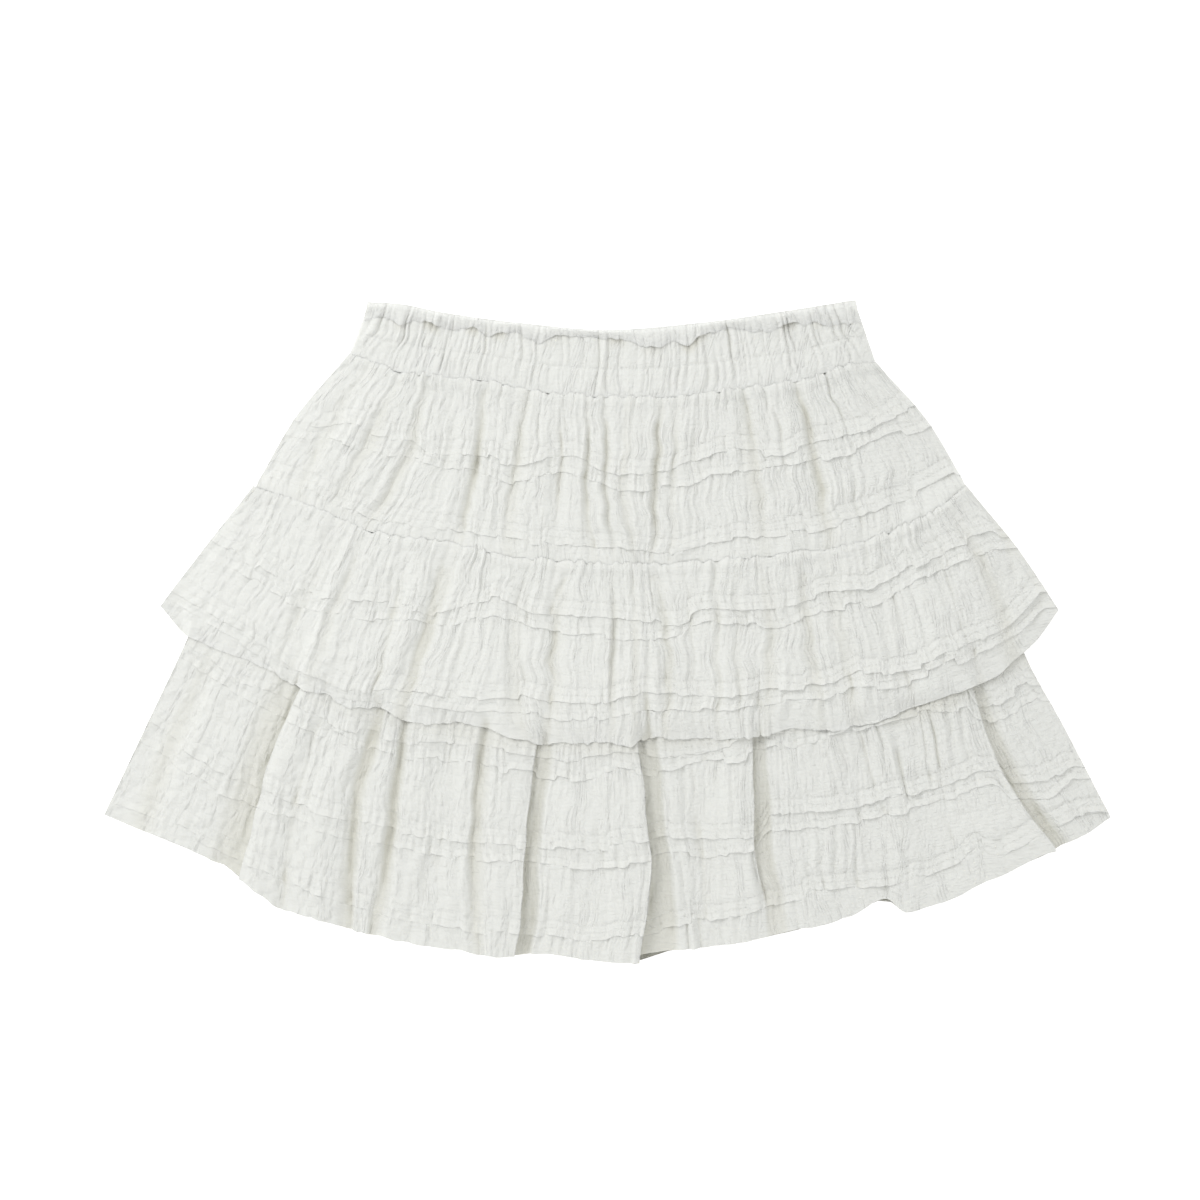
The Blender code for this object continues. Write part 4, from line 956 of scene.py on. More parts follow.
@dataclass
class Thread:
    """Lines of stitches, collected as they are sewn and made as one piece."""

    length: float = 1.4  # of one stitch on the surface
    width: float = 0.3
    stands: float = 0.2  # off the cloth
    steepest: float = 0.75  # past this slope a line drops into a crease, and the stitch with it
    lines: list[Array] = field(default_factory=list)

    def sew(self, line: Array) -> None:
        """Sews along a line of points on the cloth."""
        self.lines.append(line)

    def one_stitch(self) -> tuple[Array, list[list[int]]]:
        """Models one stitch, a short rounded bar along X, and gives its points and faces."""
        bpy.ops.object.select_all(action="DESELECT")
        lying = (0, math.pi / 2, 0)
        bpy.ops.mesh.primitive_uv_sphere_add(segments=6, ring_count=4, radius=0.5, rotation=lying)
        stitch = bpy.context.object
        bpy.ops.object.transform_apply(location=False, rotation=True, scale=False)
        bpy.ops.object.mode_set(mode="EDIT")
        bpy.ops.transform.resize(value=(self.length, self.width, self.stands))
        bpy.ops.object.mode_set(mode="OBJECT")
        points = np.array([v.co for v in stitch.data.vertices])
        faces = [list(p.vertices) for p in stitch.data.polygons]
        bpy.data.objects.remove(stitch, do_unlink=True)
        return points, faces

    def build(self, material: Material) -> None:
        """Copies the stitch along every line and joins the copies."""
        shape, faces = self.one_stitch()
        points, all_faces = [], []
        for line in self.lines:
            along = along_line(line)
            for start in np.arange(STITCH_PITCH, along[-1] - STITCH_PITCH, STITCH_PITCH):
                head, middle, tail = (
                    np.array([np.interp(start + part * self.length, along, line[:, k]) for k in range(3)])
                    for part in (0, 0.5, 1)
                )
                forward = (tail - head) / max(np.linalg.norm(tail - head), 1e-6)
                if abs(forward[2]) > self.steepest:
                    continue
                side = np.cross([0, 0, 1], forward)
                side /= np.linalg.norm(side)
                frame = np.stack([forward, side, np.cross(forward, side)])
                count = len(points) * len(shape)
                points.append(shape @ frame + middle)
                all_faces += [[k + count for k in face] for face in faces]
        declare(piece_of("stitching", points, all_faces, material))


@dataclass
class Panel:
    """One panel of cloth, laid on the pile of those below it."""

    name: str
    node: str  # the solid that it stands for
    tier: Tier
    flat: tuple[float, float]  # width and length of the cut that shows
    rests_on: Sequence[str]
    column: float  # aimed width of a column
    row: float  # aimed length of a row where the cloth is plain


class Lay(NamedTuple):
    """How a front panel's cloth lies, with a value for every row and column of its points."""

    x: Array
    y: Array
    grain: Array  # place across the cut
    down: Array  # and along it
    to_hem: Array
    crisp: Array  # how crisply its tucks lie
    sides: Array  # from 0 at the panel's two sides to 1 between them
    gather: Array  # height of its gathers


@dataclass
class FrontPanel(Panel):
    """A front panel, with its folds, creases, gathers and tucks."""

    tucks: Sequence[Tuck] = ()  # from the top down
    creases: Sequence[Crease] = ()
    gathers: Sequence[Gathers] = ()
    lift: Callable[[Array], Array] = np.zeros_like  # the cloth rides up by this at a share of its length
    covered: float = 0.0  # share of the length that another tier hides, where rows are few
    seed: int = 1
    loft: float = 1.3  # loose cloth stands this far off what is under it
    puff: float = 0.0  # and this much further just below its seam
    settle: float = 0.0  # share of its height that the cloth loses towards a free hem
    meets: Level | None = None  # the next panel's upper edge, which the lower edge is sewn in under
    head_lift: float = 0.0  # the upper edge stands up, for the panel above to be sewn in under it
    head_level: Level | None = field(default=None, init=False)

    before_first = (-TUCK_DEPTH - 0.6, -TUCK_DEPTH, -TUCK_DEPTH + 0.6)
    before_edge = (-TUCK_STITCH - 0.6, -TUCK_STITCH, -TUCK_STITCH + 0.6, -1.3, -0.5, -0.15, 0.0)
    after_edge = (TUCK_FOOT, 0.7, 1.6)
    before_hem = (-2.6, -1.2, -0.4, 0.0)
    after_top = (0.0, 0.7, 1.6)
    edge_end = 0.6 * TUCK_FOOT  # a tuck's edge drops to the cloth below it here
    thinnest = 0.4  # of the cloth where something presses it
    coarse = (4, 3)  # the underside has one of every so many rows and columns
    bare_hem = (165.0, 25.0)  # past this x, and over this much, a settled hem stands off what is under it

    def noise(self, number: int, across: float, down: float, x: Array, y: Array | float = 0) -> Array:
        """The panel's own unevenness, with another pattern for each number."""
        return Unevenness(self.seed + number, across, down).at(x, y + 0 * x)

    def pinches(self, tuck_number: int) -> tuple[Array, Array]:
        """Where a tuck's stitches have drawn the cloth into a pinch, and the edge's level between pinches."""
        random = np.random.default_rng((self.seed, tuck_number))
        places = np.cumsum(random.uniform(5, 20, 80)) - REACH
        return places, random.normal(0, 0.9, len(places) + 1)

    def wander(self, tuck_number: int, u: Array) -> Array:
        """How far a tuck's edge strays from its path: slow waves, and a small step at each pinch."""
        grain = self.tier.grain(u)
        waves = 0.5 * self.noise(40 + tuck_number, 14, 10, grain)
        waves += 0.55 * self.noise(50 + tuck_number, 3.2, 10, grain)
        places, levels = self.pinches(tuck_number)
        i = np.searchsorted(places, grain)
        away = grain - places[np.clip(i - 1, 0, len(places) - 1)]
        return waves + levels[i - 1] + (levels[i] - levels[i - 1]) * smooth(away / 1.2)

    def pinch_creases(self, below: list[Array], grain: Array) -> Array:
        """Depth of the creases that run a little way up and down from every pinch.

        Args:
            below: how far each place lies below each tuck's edge.
            grain: place across the cloth.

        Returns:
            A share of a crease's full depth at each place.
        """
        depth = np.zeros_like(grain)
        for k, away in enumerate(below):
            places, _ = self.pinches(k)
            i = np.clip(np.searchsorted(places, grain), 1, len(places) - 1)
            nearest = np.where(grain - places[i - 1] < places[i] - grain, i - 1, i)
            reach = 9 + 5 * np.sin(7.3 * nearest)
            fade = smooth(1 - np.abs(away + 3) / reach)
            depth = np.maximum(depth, fade * bell(grain - places[nearest], 0.75))
        return depth

    def rows(self, u: Array) -> tuple[Array, list[Array], list[int], list[int]]:
        """Lays out the panel's rows.

        Args:
            u: the columns.

        Returns:
            v of each row and column; v of each tuck's edge; numbers of the rows that lie under an edge; and
            numbers of the rows that are lines of stitches.
        """
        length = np.abs(self.tier.hem(u) - self.tier.head(u))
        edges = [
            self.tier.level_of(tuck.edge, u) + self.wander(k, u) / length for k, tuck in enumerate(self.tucks)
        ]
        marks = [(np.zeros_like(u), (), self.after_top)]
        for tuck, edge in zip(self.tucks, edges):
            before = self.before_first + self.before_edge if tuck.first else self.before_edge
            marks.append((edge, before, self.after_edge))
        marks.append((np.ones_like(u), self.before_hem, ()))
        table: list[Array] = []
        feet: list[int] = []
        stitched: list[int] = []
        for place, before, after in marks:
            if before:
                start = place + before[0] / length
                gap = float(np.mean((start - table[-1]) * length))
                hidden = float(np.mean(table[-1])) < self.covered - 0.05
                count = max(1, round(gap / (self.row * (3 if hidden else 1))))
                table += [table[-1] + (start - table[-1]) * (k + 1) / count for k in range(count - 1)]
            for offset in (*before, *after):
                if offset in (-TUCK_DEPTH, -TUCK_STITCH):
                    stitched.append(len(table))
                if offset == TUCK_FOOT:
                    feet.append(len(table))
                table.append(place + offset / length)
        levels = np.maximum.accumulate(np.array(table).clip(0, 1), axis=0)
        return levels, edges, feet, stitched

    def tuck_relief(self, below: list[Array], grain: Array, crisp: Array) -> tuple[Array, Array]:
        """The tucks on the cloth.

        Args:
            below: how far each place lies below each tuck's edge.
            grain: place across the cloth.
            crisp: how crisply the tucks lie.

        Returns:
            Height of the tucks, and how flat they press the cloth.
        """
        relief, pressed = np.zeros_like(grain), np.zeros_like(grain)
        for k, (tuck, away) in enumerate(zip(self.tucks, below)):
            unrest = 0.55 * self.noise(60 + k, 7, 10, grain) + 0.4 * self.noise(70 + k, 2.6, 10, grain)
            lip = TUCK_LIP * (0.45 + 0.55 * crisp) * (1 + unrest * (1.5 - 0.6 * crisp)).clip(0.1)
            start = TUCK_DEPTH if tuck.first else 0.7 * TUCK_DEPTH
            above = away < self.edge_end
            rising = lip * smooth((away + start) / start)
            relief = np.where((away >= -start) & above, np.maximum(relief, rising), relief)
            slope = lip * (1 - crisp) * smooth(1 - away / TUCK_SLOPE)
            relief = np.where(above, relief, np.maximum(relief, slope))
            pressed = np.maximum(pressed, smooth(1.0 + (away + TUCK_DEPTH) / 1.5) * above)
            for seam in (TUCK_DEPTH, TUCK_STITCH) if tuck.first else (TUCK_STITCH,):
                relief = relief - STITCH_GROOVE * bell(away + seam, 0.55)
        return relief, pressed

    def sewn_in(self, lay: Lay, z: Array) -> tuple[Array, Array]:
        """Brings the lower edge down to the next panel's upper edge, and under it.

        Args:
            lay: how the cloth lies.
            z: height of its outer side.

        Returns:
            The new y and z.
        """
        step = SEAM_STEP * (1 + 1.4 * self.noise(6, 8, 9, lay.x)).clip(0.1)
        level = np.interp(lay.x, *self.meets) - step * (0.3 + 0.7 * lay.crisp)
        share = smooth(1 - (lay.to_hem - 1) / SEAM_SLOPE)
        z = z * (1 - share) + (level + 0.8 * lay.gather * smooth(lay.to_hem / 4)) * share
        return lay.y - SEAM_LAP * smooth(1 - lay.to_hem / 3), z

    def hemmed(self, lay: Lay, z: Array, low: Array) -> tuple[Array, Array]:
        """Gives a free hem its ragged edge, and settles it where the panel settles.

        Args:
            lay: how the cloth lies.
            z: height of its outer side.
            low: height of what it can settle on.

        Returns:
            The new y and z.
        """
        settled = low + 0.3 + 0.2 * lay.crisp + ((1.2 - 0.55 * lay.crisp) * lay.gather).clip(-0.3)
        start, over = self.bare_hem
        share = (self.settle > 0) * smooth(1 - lay.to_hem / 8) * (1 - 0.8 * smooth((lay.x - start) / over))
        z = z * (1 - share) + settled * share - 0.25 * smooth(1 - lay.to_hem / 1.3) ** 2
        ragged = 0.5 * lay.gather + (1.6 - lay.crisp) * self.noise(4, 4.5, 9, lay.grain, lay.down)
        y = lay.y - ragged * (1 if self.settle else 0.45) * lay.sides * smooth(1 - lay.to_hem / 2.5)
        if not self.settle:
            y = y + curve(HEM_CURL, lay.x) * smooth(1 - lay.to_hem / 14)
        return y, z

    def surface(self, pile: Pile) -> tuple[Array, Array, Array, Array, list[int]]:
        """Lays the cloth.

        Args:
            pile: what it is laid on.

        Returns:
            The outer points, the height of the cloth's underside, the marks of each point, the levels of the
            rows, and the rows that are lines of stitches.
        """
        tier = self.tier
        u = tier.columns(self.column)
        v, edges, feet, stitched = self.rows(u)
        u_all = np.tile(u, (len(v), 1))
        length = np.abs(tier.hem(u) - tier.head(u))[None, :]
        x, y = tier.place(u_all, v)
        x = x + tier.stray(u_all, v, self.seed + 80)
        grain, down = tier.grain(u_all), v * length
        shows = smooth((v - self.covered + 0.1) / 0.1) if self.covered else np.ones_like(v)
        sides = smooth(np.minimum(u_all / 4.5, (tier.last - u_all) / 3.2))
        floor = pile.height(x, y) + GAP
        floor += (1 - sides) * (pile.height(x, y, Pile.wide) + GAP - floor)

        swell = 0.8 * self.noise(2, 11, 34, grain, down) + 0.4 * self.noise(3, 5, 15, grain, down)
        seams = smooth(down / 8) if tier.low is None else smooth(down / 8) * smooth((length - down) / 6)
        puff = self.puff * smooth(down / 3) * smooth(1 - (down - 4) / 16)
        raised = tier.rise(u_all, v) + (self.loft * seams + puff + swell) * sides * shows
        raised -= 0.95 * trough(self.creases, x, y)
        raised *= 1 - self.settle * smooth((v - 0.7) / 0.3)
        under = floor + self.lift(v) + np.maximum(raised, 0) + self.head_lift * smooth(1 - (down - 1.5) / 6)

        crisp, below = curve(CRISPNESS, x), [(v - edge) * length for edge in edges]
        relief, pressed = self.tuck_relief(below, grain, crisp)
        band = np.sum([away > self.edge_end for away in below], axis=0)
        gather = np.sum([kind.at(grain + BAND_SHIFT * band, down) for kind in self.gathers], axis=0)
        gather *= (1 + (0.25 - 0.7 * crisp) * pressed) * (0.3 + 0.7 * sides) * (0.2 + 0.8 * shows)
        gather *= (0.7 + 0.3 * smooth(down / 3)) * (0.45 + 0.7 * crisp)
        gather -= 0.8 * self.pinch_creases(below, grain) * shows * sides

        steep = np.abs(np.gradient(under, axis=1)) / np.maximum(np.abs(np.gradient(x, axis=1)), 0.2)
        z = under + CLOTH * np.sqrt(1 + steep**2).clip(1, MOST_SLANT) + relief + gather
        z = np.maximum(z, floor + self.lift(v) + self.thinnest)
        lay = Lay(x, y, grain, down, length - down, crisp, sides, gather)
        if self.meets:
            y, z = self.sewn_in(lay, z)
            under = np.minimum(under, z - self.thinnest)
        else:
            y, z = self.hemmed(lay, z, np.maximum(pile.height(x, y, Pile.close), floor - 2.1))
        z = z - (0.1 + 0.3 * crisp) * smooth(1 - down / 0.6)
        scallop = 0.9 * (gather - 0.6).clip(-0.8, 1.2) + 1.1 * self.noise(5, 3.5, 9, grain, down)
        y = y + scallop * smooth(1 - down / 2.5) * sides
        y[feet] += TUCK_UNDERCUT * crisp[feet]

        stitch = np.full(v.shape, NO_STITCH)
        for row in stitched:
            stitch = np.minimum(stitch, np.abs(v - v[row]) * length)
        # Painted shade: darker in folds and gullies, and below a covering hem where its shadow falls, by
        # HEM_SHADE.
        gully_shade_share = 0.75 * tier.across(tier.gully_shade, u_all, v, True) ** 1.5
        painted_shade = np.maximum(painted_fold_shade(z, self.column), gully_shade_share)
        if self.covered:
            shade, out = curve(HEM_SHADE, x), (v - self.covered - 0.04) * length
            painted_shade = np.maximum(painted_shade, shade * smooth(1 - out / (3 + 14 * shade)))
        return joined(x, y, z), under, joined(grain, down, stitch, pressed, painted_shade), v, stitched

    def build(self, pile: Pile, thread: Thread, material: Material) -> None:
        """Lays the panel, closes its wall and sews its tucks.

        Args:
            pile: what it is laid on, which then takes it in.
            thread: sews its lines of stitches.
            material: the cloth's.
        """
        outer, under, marks, v, stitched = self.surface(pile)
        self.head_level = evened(outer[0, :, 0], outer[0, :, 2])
        pile.add(outer)
        u = self.tier.columns(self.column)
        downward, across = (thinned(count, step) for count, step in zip(v.shape, self.coarse))
        coarse = np.ix_(downward, across)
        lowest = lowest_near(np.minimum(under, outer[..., 2] - 0.3), *self.coarse)
        inner = joined(outer[..., 0], outer[..., 1], lowest - 0.1 * (lowest > 0.5))[coarse]
        mesh = Mesh(self.name)
        out, into = mesh.grid(outer, marks, True), mesh.grid(inner, marks[coarse], False)
        mesh.wall(out, into, (u, u[across]), (v, v[downward]))
        for row in stitched:
            if v[row, len(u) // 2] > self.covered:
                thread.sew(outer[row])
        mesh.finish(material, self.node, self.flat)


@dataclass
class BackPanel(Panel):
    """A back panel. Its underside is pressed flat, with shallow grooves where the gathers and tucks are."""

    tuck_levels: Sequence[float] = ()  # shares of its length that its tucks lie at
    groove: float = 0.45
    gathers: Gathers = Gathers(2, 4.5, 0.9)

    def build(self, pile: Pile, material: Material) -> None:
        """Lays the panel and closes its wall."""
        tier = self.tier
        width = float(tier.x[-1, -2] - tier.x[0, -2])
        u = np.linspace(0, tier.last, round(width / self.column) + 1)
        length = float(np.mean(tier.head(u) - tier.hem(u)))
        v = np.linspace(0, 1, round(length / self.row) + 1)
        u_all, v_all = np.meshgrid(u, v)
        x, y = tier.place(u_all, v_all)
        grain, down = (u_all / tier.last - 0.5) * width, v_all * length
        floor = pile.height(x, y) + GAP
        dent = (1 - self.gathers.at(grain, down) / self.gathers.height).clip(0, 1)
        for level in self.tuck_levels:
            dent = np.maximum(dent, 1.4 * bell(down - level * length, 0.8))
        edge = smooth(np.minimum(u_all, tier.last - u_all)) * smooth(np.minimum(v_all, 1 - v_all) / 0.02)
        # Painted shade: the back panels' colour is 0.9 of the way to the shade colour, for where they show in
        # shade under the front.
        marks = joined(grain, down, NO_STITCH, 0, 0.9)
        rows, columns = thinned(len(v), 4), thinned(len(u), 4)
        coarse = np.ix_(rows, columns)
        mesh = Mesh(self.name)
        low = mesh.grid(joined(x, y, floor + self.groove * dent * edge), marks, False)
        high_points = joined(x, y, floor + CLOTH + 0.15)[coarse]
        high = mesh.grid(high_points, marks[coarse], True)
        mesh.wall(high, low, (u[columns], u), (v[rows], v))
        pile.add(high_points)
        mesh.finish(material, self.node, self.flat)


@dataclass
class Waistband:
    """The gathered casing, a flattened ring with two channels of elastic, and the header over it."""

    yoke_level: Level  # of the yoke's upper edge
    column: float = 0.4  # width of a column of the front
    back_columns: int = 60
    end_points: int = 7  # round each end
    front_height: float = 1.6  # of its gathers
    seam: float = 0.58  # the channels' seam, as a share of the casing's length
    shares: Sequence[float] = (  # of its length, where its rows lie
        0, 0.04, 0.09, 0.14, 0.19, 0.24, 0.29, 0.34, 0.39, 0.44, 0.49, 0.53, 0.555, 0.57, 0.58, 0.59, 0.605,
        0.63, 0.67, 0.71, 0.75, 0.79, 0.83, 0.87, 0.9, 0.93, 0.955, 0.975, 0.99, 1,
    )
    lean: Rail = (  # of its gathers, by the grain
        (-127, -0.6), (-112, -0.3), (-85, -0.12), (-40, -0.05), (0, 0), (35, -0.25), (60, -0.05), (95, 0.05),
        (110, 0.2), (129, 0.4),
    )
    downs: Sequence[float] = (0, 0.06, 0.14, 0.24, 0.35, 0.46, 0.57, 0.68, 0.78, 0.87, 0.94, 0.98, 1)
    flat: tuple[float, float] = (560.0, 27.0)
    header_flat: tuple[float, float] = (270.0, 10.0)

    def top(self) -> float:
        """Height of the casing's front face, without its gathers."""
        return CASING_REST + 2 * CASING_WALL + CASING_LUMEN

    def mouth(self, x: Array) -> Array:
        """Height of the casing's front wall at its lower edge, where it is sewn in under the yoke."""
        return np.interp(x, *self.yoke_level) - CASING_STEP

    def side(self, end: int, share: Array | float) -> Array | float:
        """x of the casing's left side, end 0, or its right one, end -1, at a share of its length."""
        top = WAIST_TOP[end][0]
        return top + share * (YOKE_FOLDS[end].x_top - top)

    def drop(self, x: Array, share: float) -> Array:
        """y of the casing at a share of its length."""
        top, low = curve(shifted(WAIST_TOP, -HEADER_TOP), x), curve(shifted(WAIST_SEAM, GAP / 2), x)
        return top + (low - top) * share

    def edge(self, x: Array) -> tuple[Array, Array]:
        """How far the front header hangs at its free edge, and how far it is lifted."""
        length, lift = (curve([(frill.x, frill[k]) for frill in HEADER_EDGE], x) for k in (1, 2))
        return length, lift

    def ridges(self, grain: Array, share: Array) -> Array:
        """Height of the casing's gathers, which run through the seam between its channels.

        Args:
            grain: place across the cloth.
            share: how far down the casing, from 0 to 1.

        Returns:
            Height over the plain casing.
        """
        sway = 1.1 * Unevenness(35, 8, 1).at(grain, 4 * share)
        sway -= curve(self.lean, grain) * CASING_LENGTH * (share - 0.45).clip(0)
        blend = 0.5 * smooth((share - self.seam + 0.06) / 0.12)
        rows = (Gathers(seed, 3.9, self.front_height, 0.16, CASING_SLITS, 0.7, 0.6) for seed in (31, 33))
        one, other = (row.at(grain + sway, CASING_LENGTH * share) for row in rows)
        left, right = CASING_ENDS
        return (one * (1 - blend) + other * blend) * smooth(np.minimum(grain - left, right - grain) / 4)

    def frill_shade(self, x: Array, y: Array) -> Array:
        """How deep a place on the casing lies in the shade of the header's lifted edge."""
        length, lift = self.edge(x)
        below = curve(WAIST_TOP, x) - length - y
        return smooth((lift - 1.4) / 2) * smooth(1 - below / 6) * (below > -4)

    def loop(self, left: float, right: float, low: float, high: float, columns: int) -> Array:
        """A flattened band.

        Args:
            left: x of its left end.
            right: x of its right end.
            low: z of its back.
            high: z of its front.
            columns: how many columns the front has.

        Returns:
            x and z round it: its front, right end, back and left end.
        """
        end, middle = CASING_WALL, (low + high) / 2
        front = np.linspace(left + end, right - end, columns + 1)
        back = np.linspace(right - end, left + end, self.back_columns + 1)
        angle = np.linspace(0, math.pi, self.end_points + 2)[1:-1]
        round_x, round_z = np.sin(angle) * end, middle + np.cos(angle) * (high - low) / 2
        x = [front, right - end + round_x, back, left + end - round_x[::-1]]
        z = [np.full(len(front), high), round_z, np.full(len(back), low), round_z[::-1]]
        return joined(np.concatenate(x), np.concatenate(z))

    def casing(self, thread: Thread, material: Material) -> None:
        """Draws up the casing and sews the seam between its channels."""
        columns = round((WAIST_TOP[-1][0] - WAIST_TOP[0][0] + 12) / self.column)
        front, behind = slice(0, columns + 1), slice(columns + 1, None)
        grain = np.linspace(*CASING_ENDS, columns + 1)
        outer, marks, inner, inner_marks = [], [], [], []
        for share in self.shares:
            left, right = self.side(0, share), self.side(-1, share)
            rest = CASING_REST * (1 - smooth((share - 0.5) / 0.5))
            at_seam = bell(share - self.seam, 0.04)
            pinch = 0.2 * at_seam + 0.4 * (1 - smooth(share / 0.1))
            loop = self.loop(left, right, rest, self.top() - pinch, columns)
            x, z = loop[:, 0].copy(), loop[:, 1].copy()
            rise = self.ridges(grain, np.full_like(grain, share)) * (1 - 0.2 * at_seam)
            z[front] += rise
            bend = smooth((share - 1) * CASING_LENGTH / SEAM_SLOPE + 1)
            lip = self.mouth(x[front]) + 0.8 * rise * smooth((1 - share) / 0.15)
            z[front] = z[front] * (1 - bend) + lip * bend
            squeeze = 1 - bend * (1 - (np.interp(x[behind], x[front], lip) - rest) / (self.top() - rest))
            z[behind] = rest + (z[behind] - rest) * squeeze
            y = self.drop(x, share)
            y[front] -= SEAM_LAP * bend
            around = along_line(loop)
            around[-self.end_points :] -= around[-1]  # the cloth runs on from the left end into the front
            stitch, painted_shade = np.full_like(x, NO_STITCH), np.zeros_like(x)
            stitch[front] = abs(share - self.seam) * CASING_LENGTH
            # Painted shade in the valleys of the gathers and under the header's lifted edge.
            deep = painted_fold_shade(z[None, :], self.column)[0]
            painted_shade[front] = np.maximum(deep[front], self.frill_shade(x[front], y[front]))
            row_marks = joined(around, share * CASING_LENGTH, stitch, 0, painted_shade)
            outer.append(joined(x, y, z))
            marks.append(row_marks)
            if share == self.seam:
                thread.sew(outer[-1][front])
            if share in (0, 1):
                low, high = rest + CASING_WALL, rest + CASING_WALL + CASING_LUMEN
                hole = self.loop(left + CASING_WALL, right - CASING_WALL, low, high, columns)
                if share:
                    squeeze = (np.interp(hole[:, 0], x[front], lip) - 0.5) / high
                    squeeze[behind] = squeeze[behind].clip(0, 1)
                    hole[:, 1] *= squeeze
                y = self.drop(hole[:, 0], share)
                y[front] -= SEAM_LAP * share
                inner.append(joined(hole[:, 0], y, hole[:, 1]))
                inner_marks.append(row_marks)
        mesh = Mesh("elastic_casing")
        out = mesh.grid(outer, marks, True, closed=True)
        into = mesh.grid(inner, inner_marks, False, closed=True)
        for end, turned in ((0, True), (-1, False)):
            row_out, row_in = out[end], into[end]
            quads = np.stack([row_out, row_in, np.roll(row_in, -1), np.roll(row_out, -1)], -1)
            mesh.faces += (quads[:, ::-1] if turned else quads).tolist()
        mesh.finish(material, "waistband", self.flat)

    def header(self, material: Material) -> None:
        """The front header: a flap that folds over the casing, with a free edge in uneven waves."""
        left, right, (start, end) = self.side(0, 0), self.side(-1, 0), CASING_ENDS
        share, downs = np.linspace(0, 1, round((right - left) / self.column) + 1), np.array(self.downs)
        x_top = left + share * (right - left)
        x_edge = HEADER_EDGE[0].x + share * (HEADER_EDGE[-1].x - HEADER_EDGE[0].x)
        still = np.zeros_like(x_edge)
        uneven = (Unevenness(54, 4.5, 5), Unevenness(55, 1.8, 5), Unevenness(56, 3.5, 5))
        wave, wrinkle, toss = (kind.at(x_edge, still) for kind in uneven)
        length, lift = self.edge(x_edge)
        length = (length + 1.0 * wave + 0.4 * wrinkle).clip(2.2)
        lift = 0.5 * (lift - 1.2).clip(0) * (1 + 0.5 * toss).clip(0)
        ripple = Gathers(51, 11.0, 1.5, 0.05, steady=0.6, roundness=1.4)
        outer, inner, marks = [], [], []
        for down in downs:
            at = still + down * HEADER_FRONT
            ruffled = ripple.at(x_edge, at) * smooth(down / 0.5) * 0.8 * smooth(lift / 1.2)
            x = x_top + (x_edge - x_top) * down + 0.9 * Unevenness(53, 6, 5).at(x_edge, at) * down
            below = ((length * down - HEADER_TOP) / HEADER_SPAN).clip(0)
            low, high = self.side(0, below) + CASING_WALL, self.side(-1, below) - CASING_WALL
            grain = start + (end - start) * ((x - low) / (high - low)).clip(0, 1)
            follows = 0.5 + 0.5 * smooth((down - 0.3) / 0.7)
            under = self.top() + GAP * (1 - 0.9 * down) + lift * down**1.7 + ruffled + 1.7 * (1 - follows)
            under += follows * self.ridges(grain, below)
            under -= 1.8 * smooth(1 - down / 0.3)
            y = curve(WAIST_TOP, x_top) - length * down - 0.4 * ruffled * (down > 0.9)
            slant = np.sqrt(1 + (np.gradient(under) / np.gradient(x)) ** 2).clip(1, MOST_SLANT)
            inner.append(joined(x, y, under))
            outer.append(joined(x, y, under + CLOTH * (1 - 0.85 * down**3) * slant))
            # Painted shade in the valleys of the header's ripples.
            painted_shade = painted_fold_shade(outer[-1][None, :, 2], self.column)[0]
            marks.append(joined(x_edge, at, NO_STITCH, 0.3, painted_shade))
        mesh = Mesh("header_frill")
        out, into = mesh.grid(outer, marks, True), mesh.grid(inner, marks, False)
        mesh.wall(out, into, (share, share), (downs, downs))
        mesh.finish(material, "waist_frill_front", self.header_flat)

    def header_under(self, material: Material) -> None:
        """The back header, pressed flat under the casing."""
        x = np.linspace(self.side(0, 0), self.side(-1, 0), 320)
        downs = np.linspace(0, 1, 8)
        ripple = Gathers(57, 4.5, 0.35)
        low, high, marks = [], [], []
        for down in downs:
            y = curve(WAIST_TOP, x) - 0.5 - down * (HEADER_BACK - 0.5)
            at = np.full_like(x, down * HEADER_BACK)
            dent = 0.35 - ripple.at(x, at).clip(0, 0.35)
            dent *= smooth(np.minimum(x - x[0], x[-1] - x) / 3)
            low.append(joined(x, y, dent))
            high.append(joined(x, y, CLOTH))
            marks.append(joined(x, at, NO_STITCH, 0, 0))
        mesh = Mesh("header_frill_back")
        under, top = mesh.grid(low, marks, False), mesh.grid(high, marks, True)
        mesh.wall(top, under, (x, x), (downs, downs))
        mesh.finish(material, "waist_frill_back", self.header_flat)


def linear(colour: str) -> tuple[float, float, float, float]:
    """An sRGB hex colour as the linear values that a shader takes."""
    parts = [int(colour[k : k + 2], 16) / 255 for k in (1, 3, 5)]
    parts = [c / 12.92 if c <= 0.04045 else ((c + 0.055) / 1.055) ** 2.4 for c in parts]
    return (*parts, 1.0)


def set_node(node: bpy.types.Node, links: dict, values: dict) -> None:
    """Links a node's inputs and sets its constants, both by the inputs' names or numbers."""
    for name, socket in links.items():
        node.id_data.links.new(socket, node.inputs[name])
    for name, value in values.items():
        node.inputs[name].default_value = value


def add_node(tree: bpy.types.NodeTree, kind: str, links: dict | None = None, values: dict | None = None,
             **settings) -> bpy.types.Node:
    """Adds a node to a material.

    Args:
        tree: the material's nodes.
        kind: the node's type, without its ShaderNode prefix.
        links: output sockets to link, by input name or number.
        values: constants to set, by input name or number.
        settings: the node's own properties.

    Returns:
        The node.
    """
    node = tree.nodes.new("ShaderNode" + kind)
    for name, value in settings.items():
        setattr(node, name, value)
    set_node(node, links or {}, values or {})
    return node


def new_material(name: str) -> tuple[Material, bpy.types.NodeTree, bpy.types.Node]:
    """Makes a material, and gives it with its nodes and its shader."""
    material = bpy.data.materials.new(name)
    material.use_nodes = True
    return material, material.node_tree, material.node_tree.nodes["Principled BSDF"]


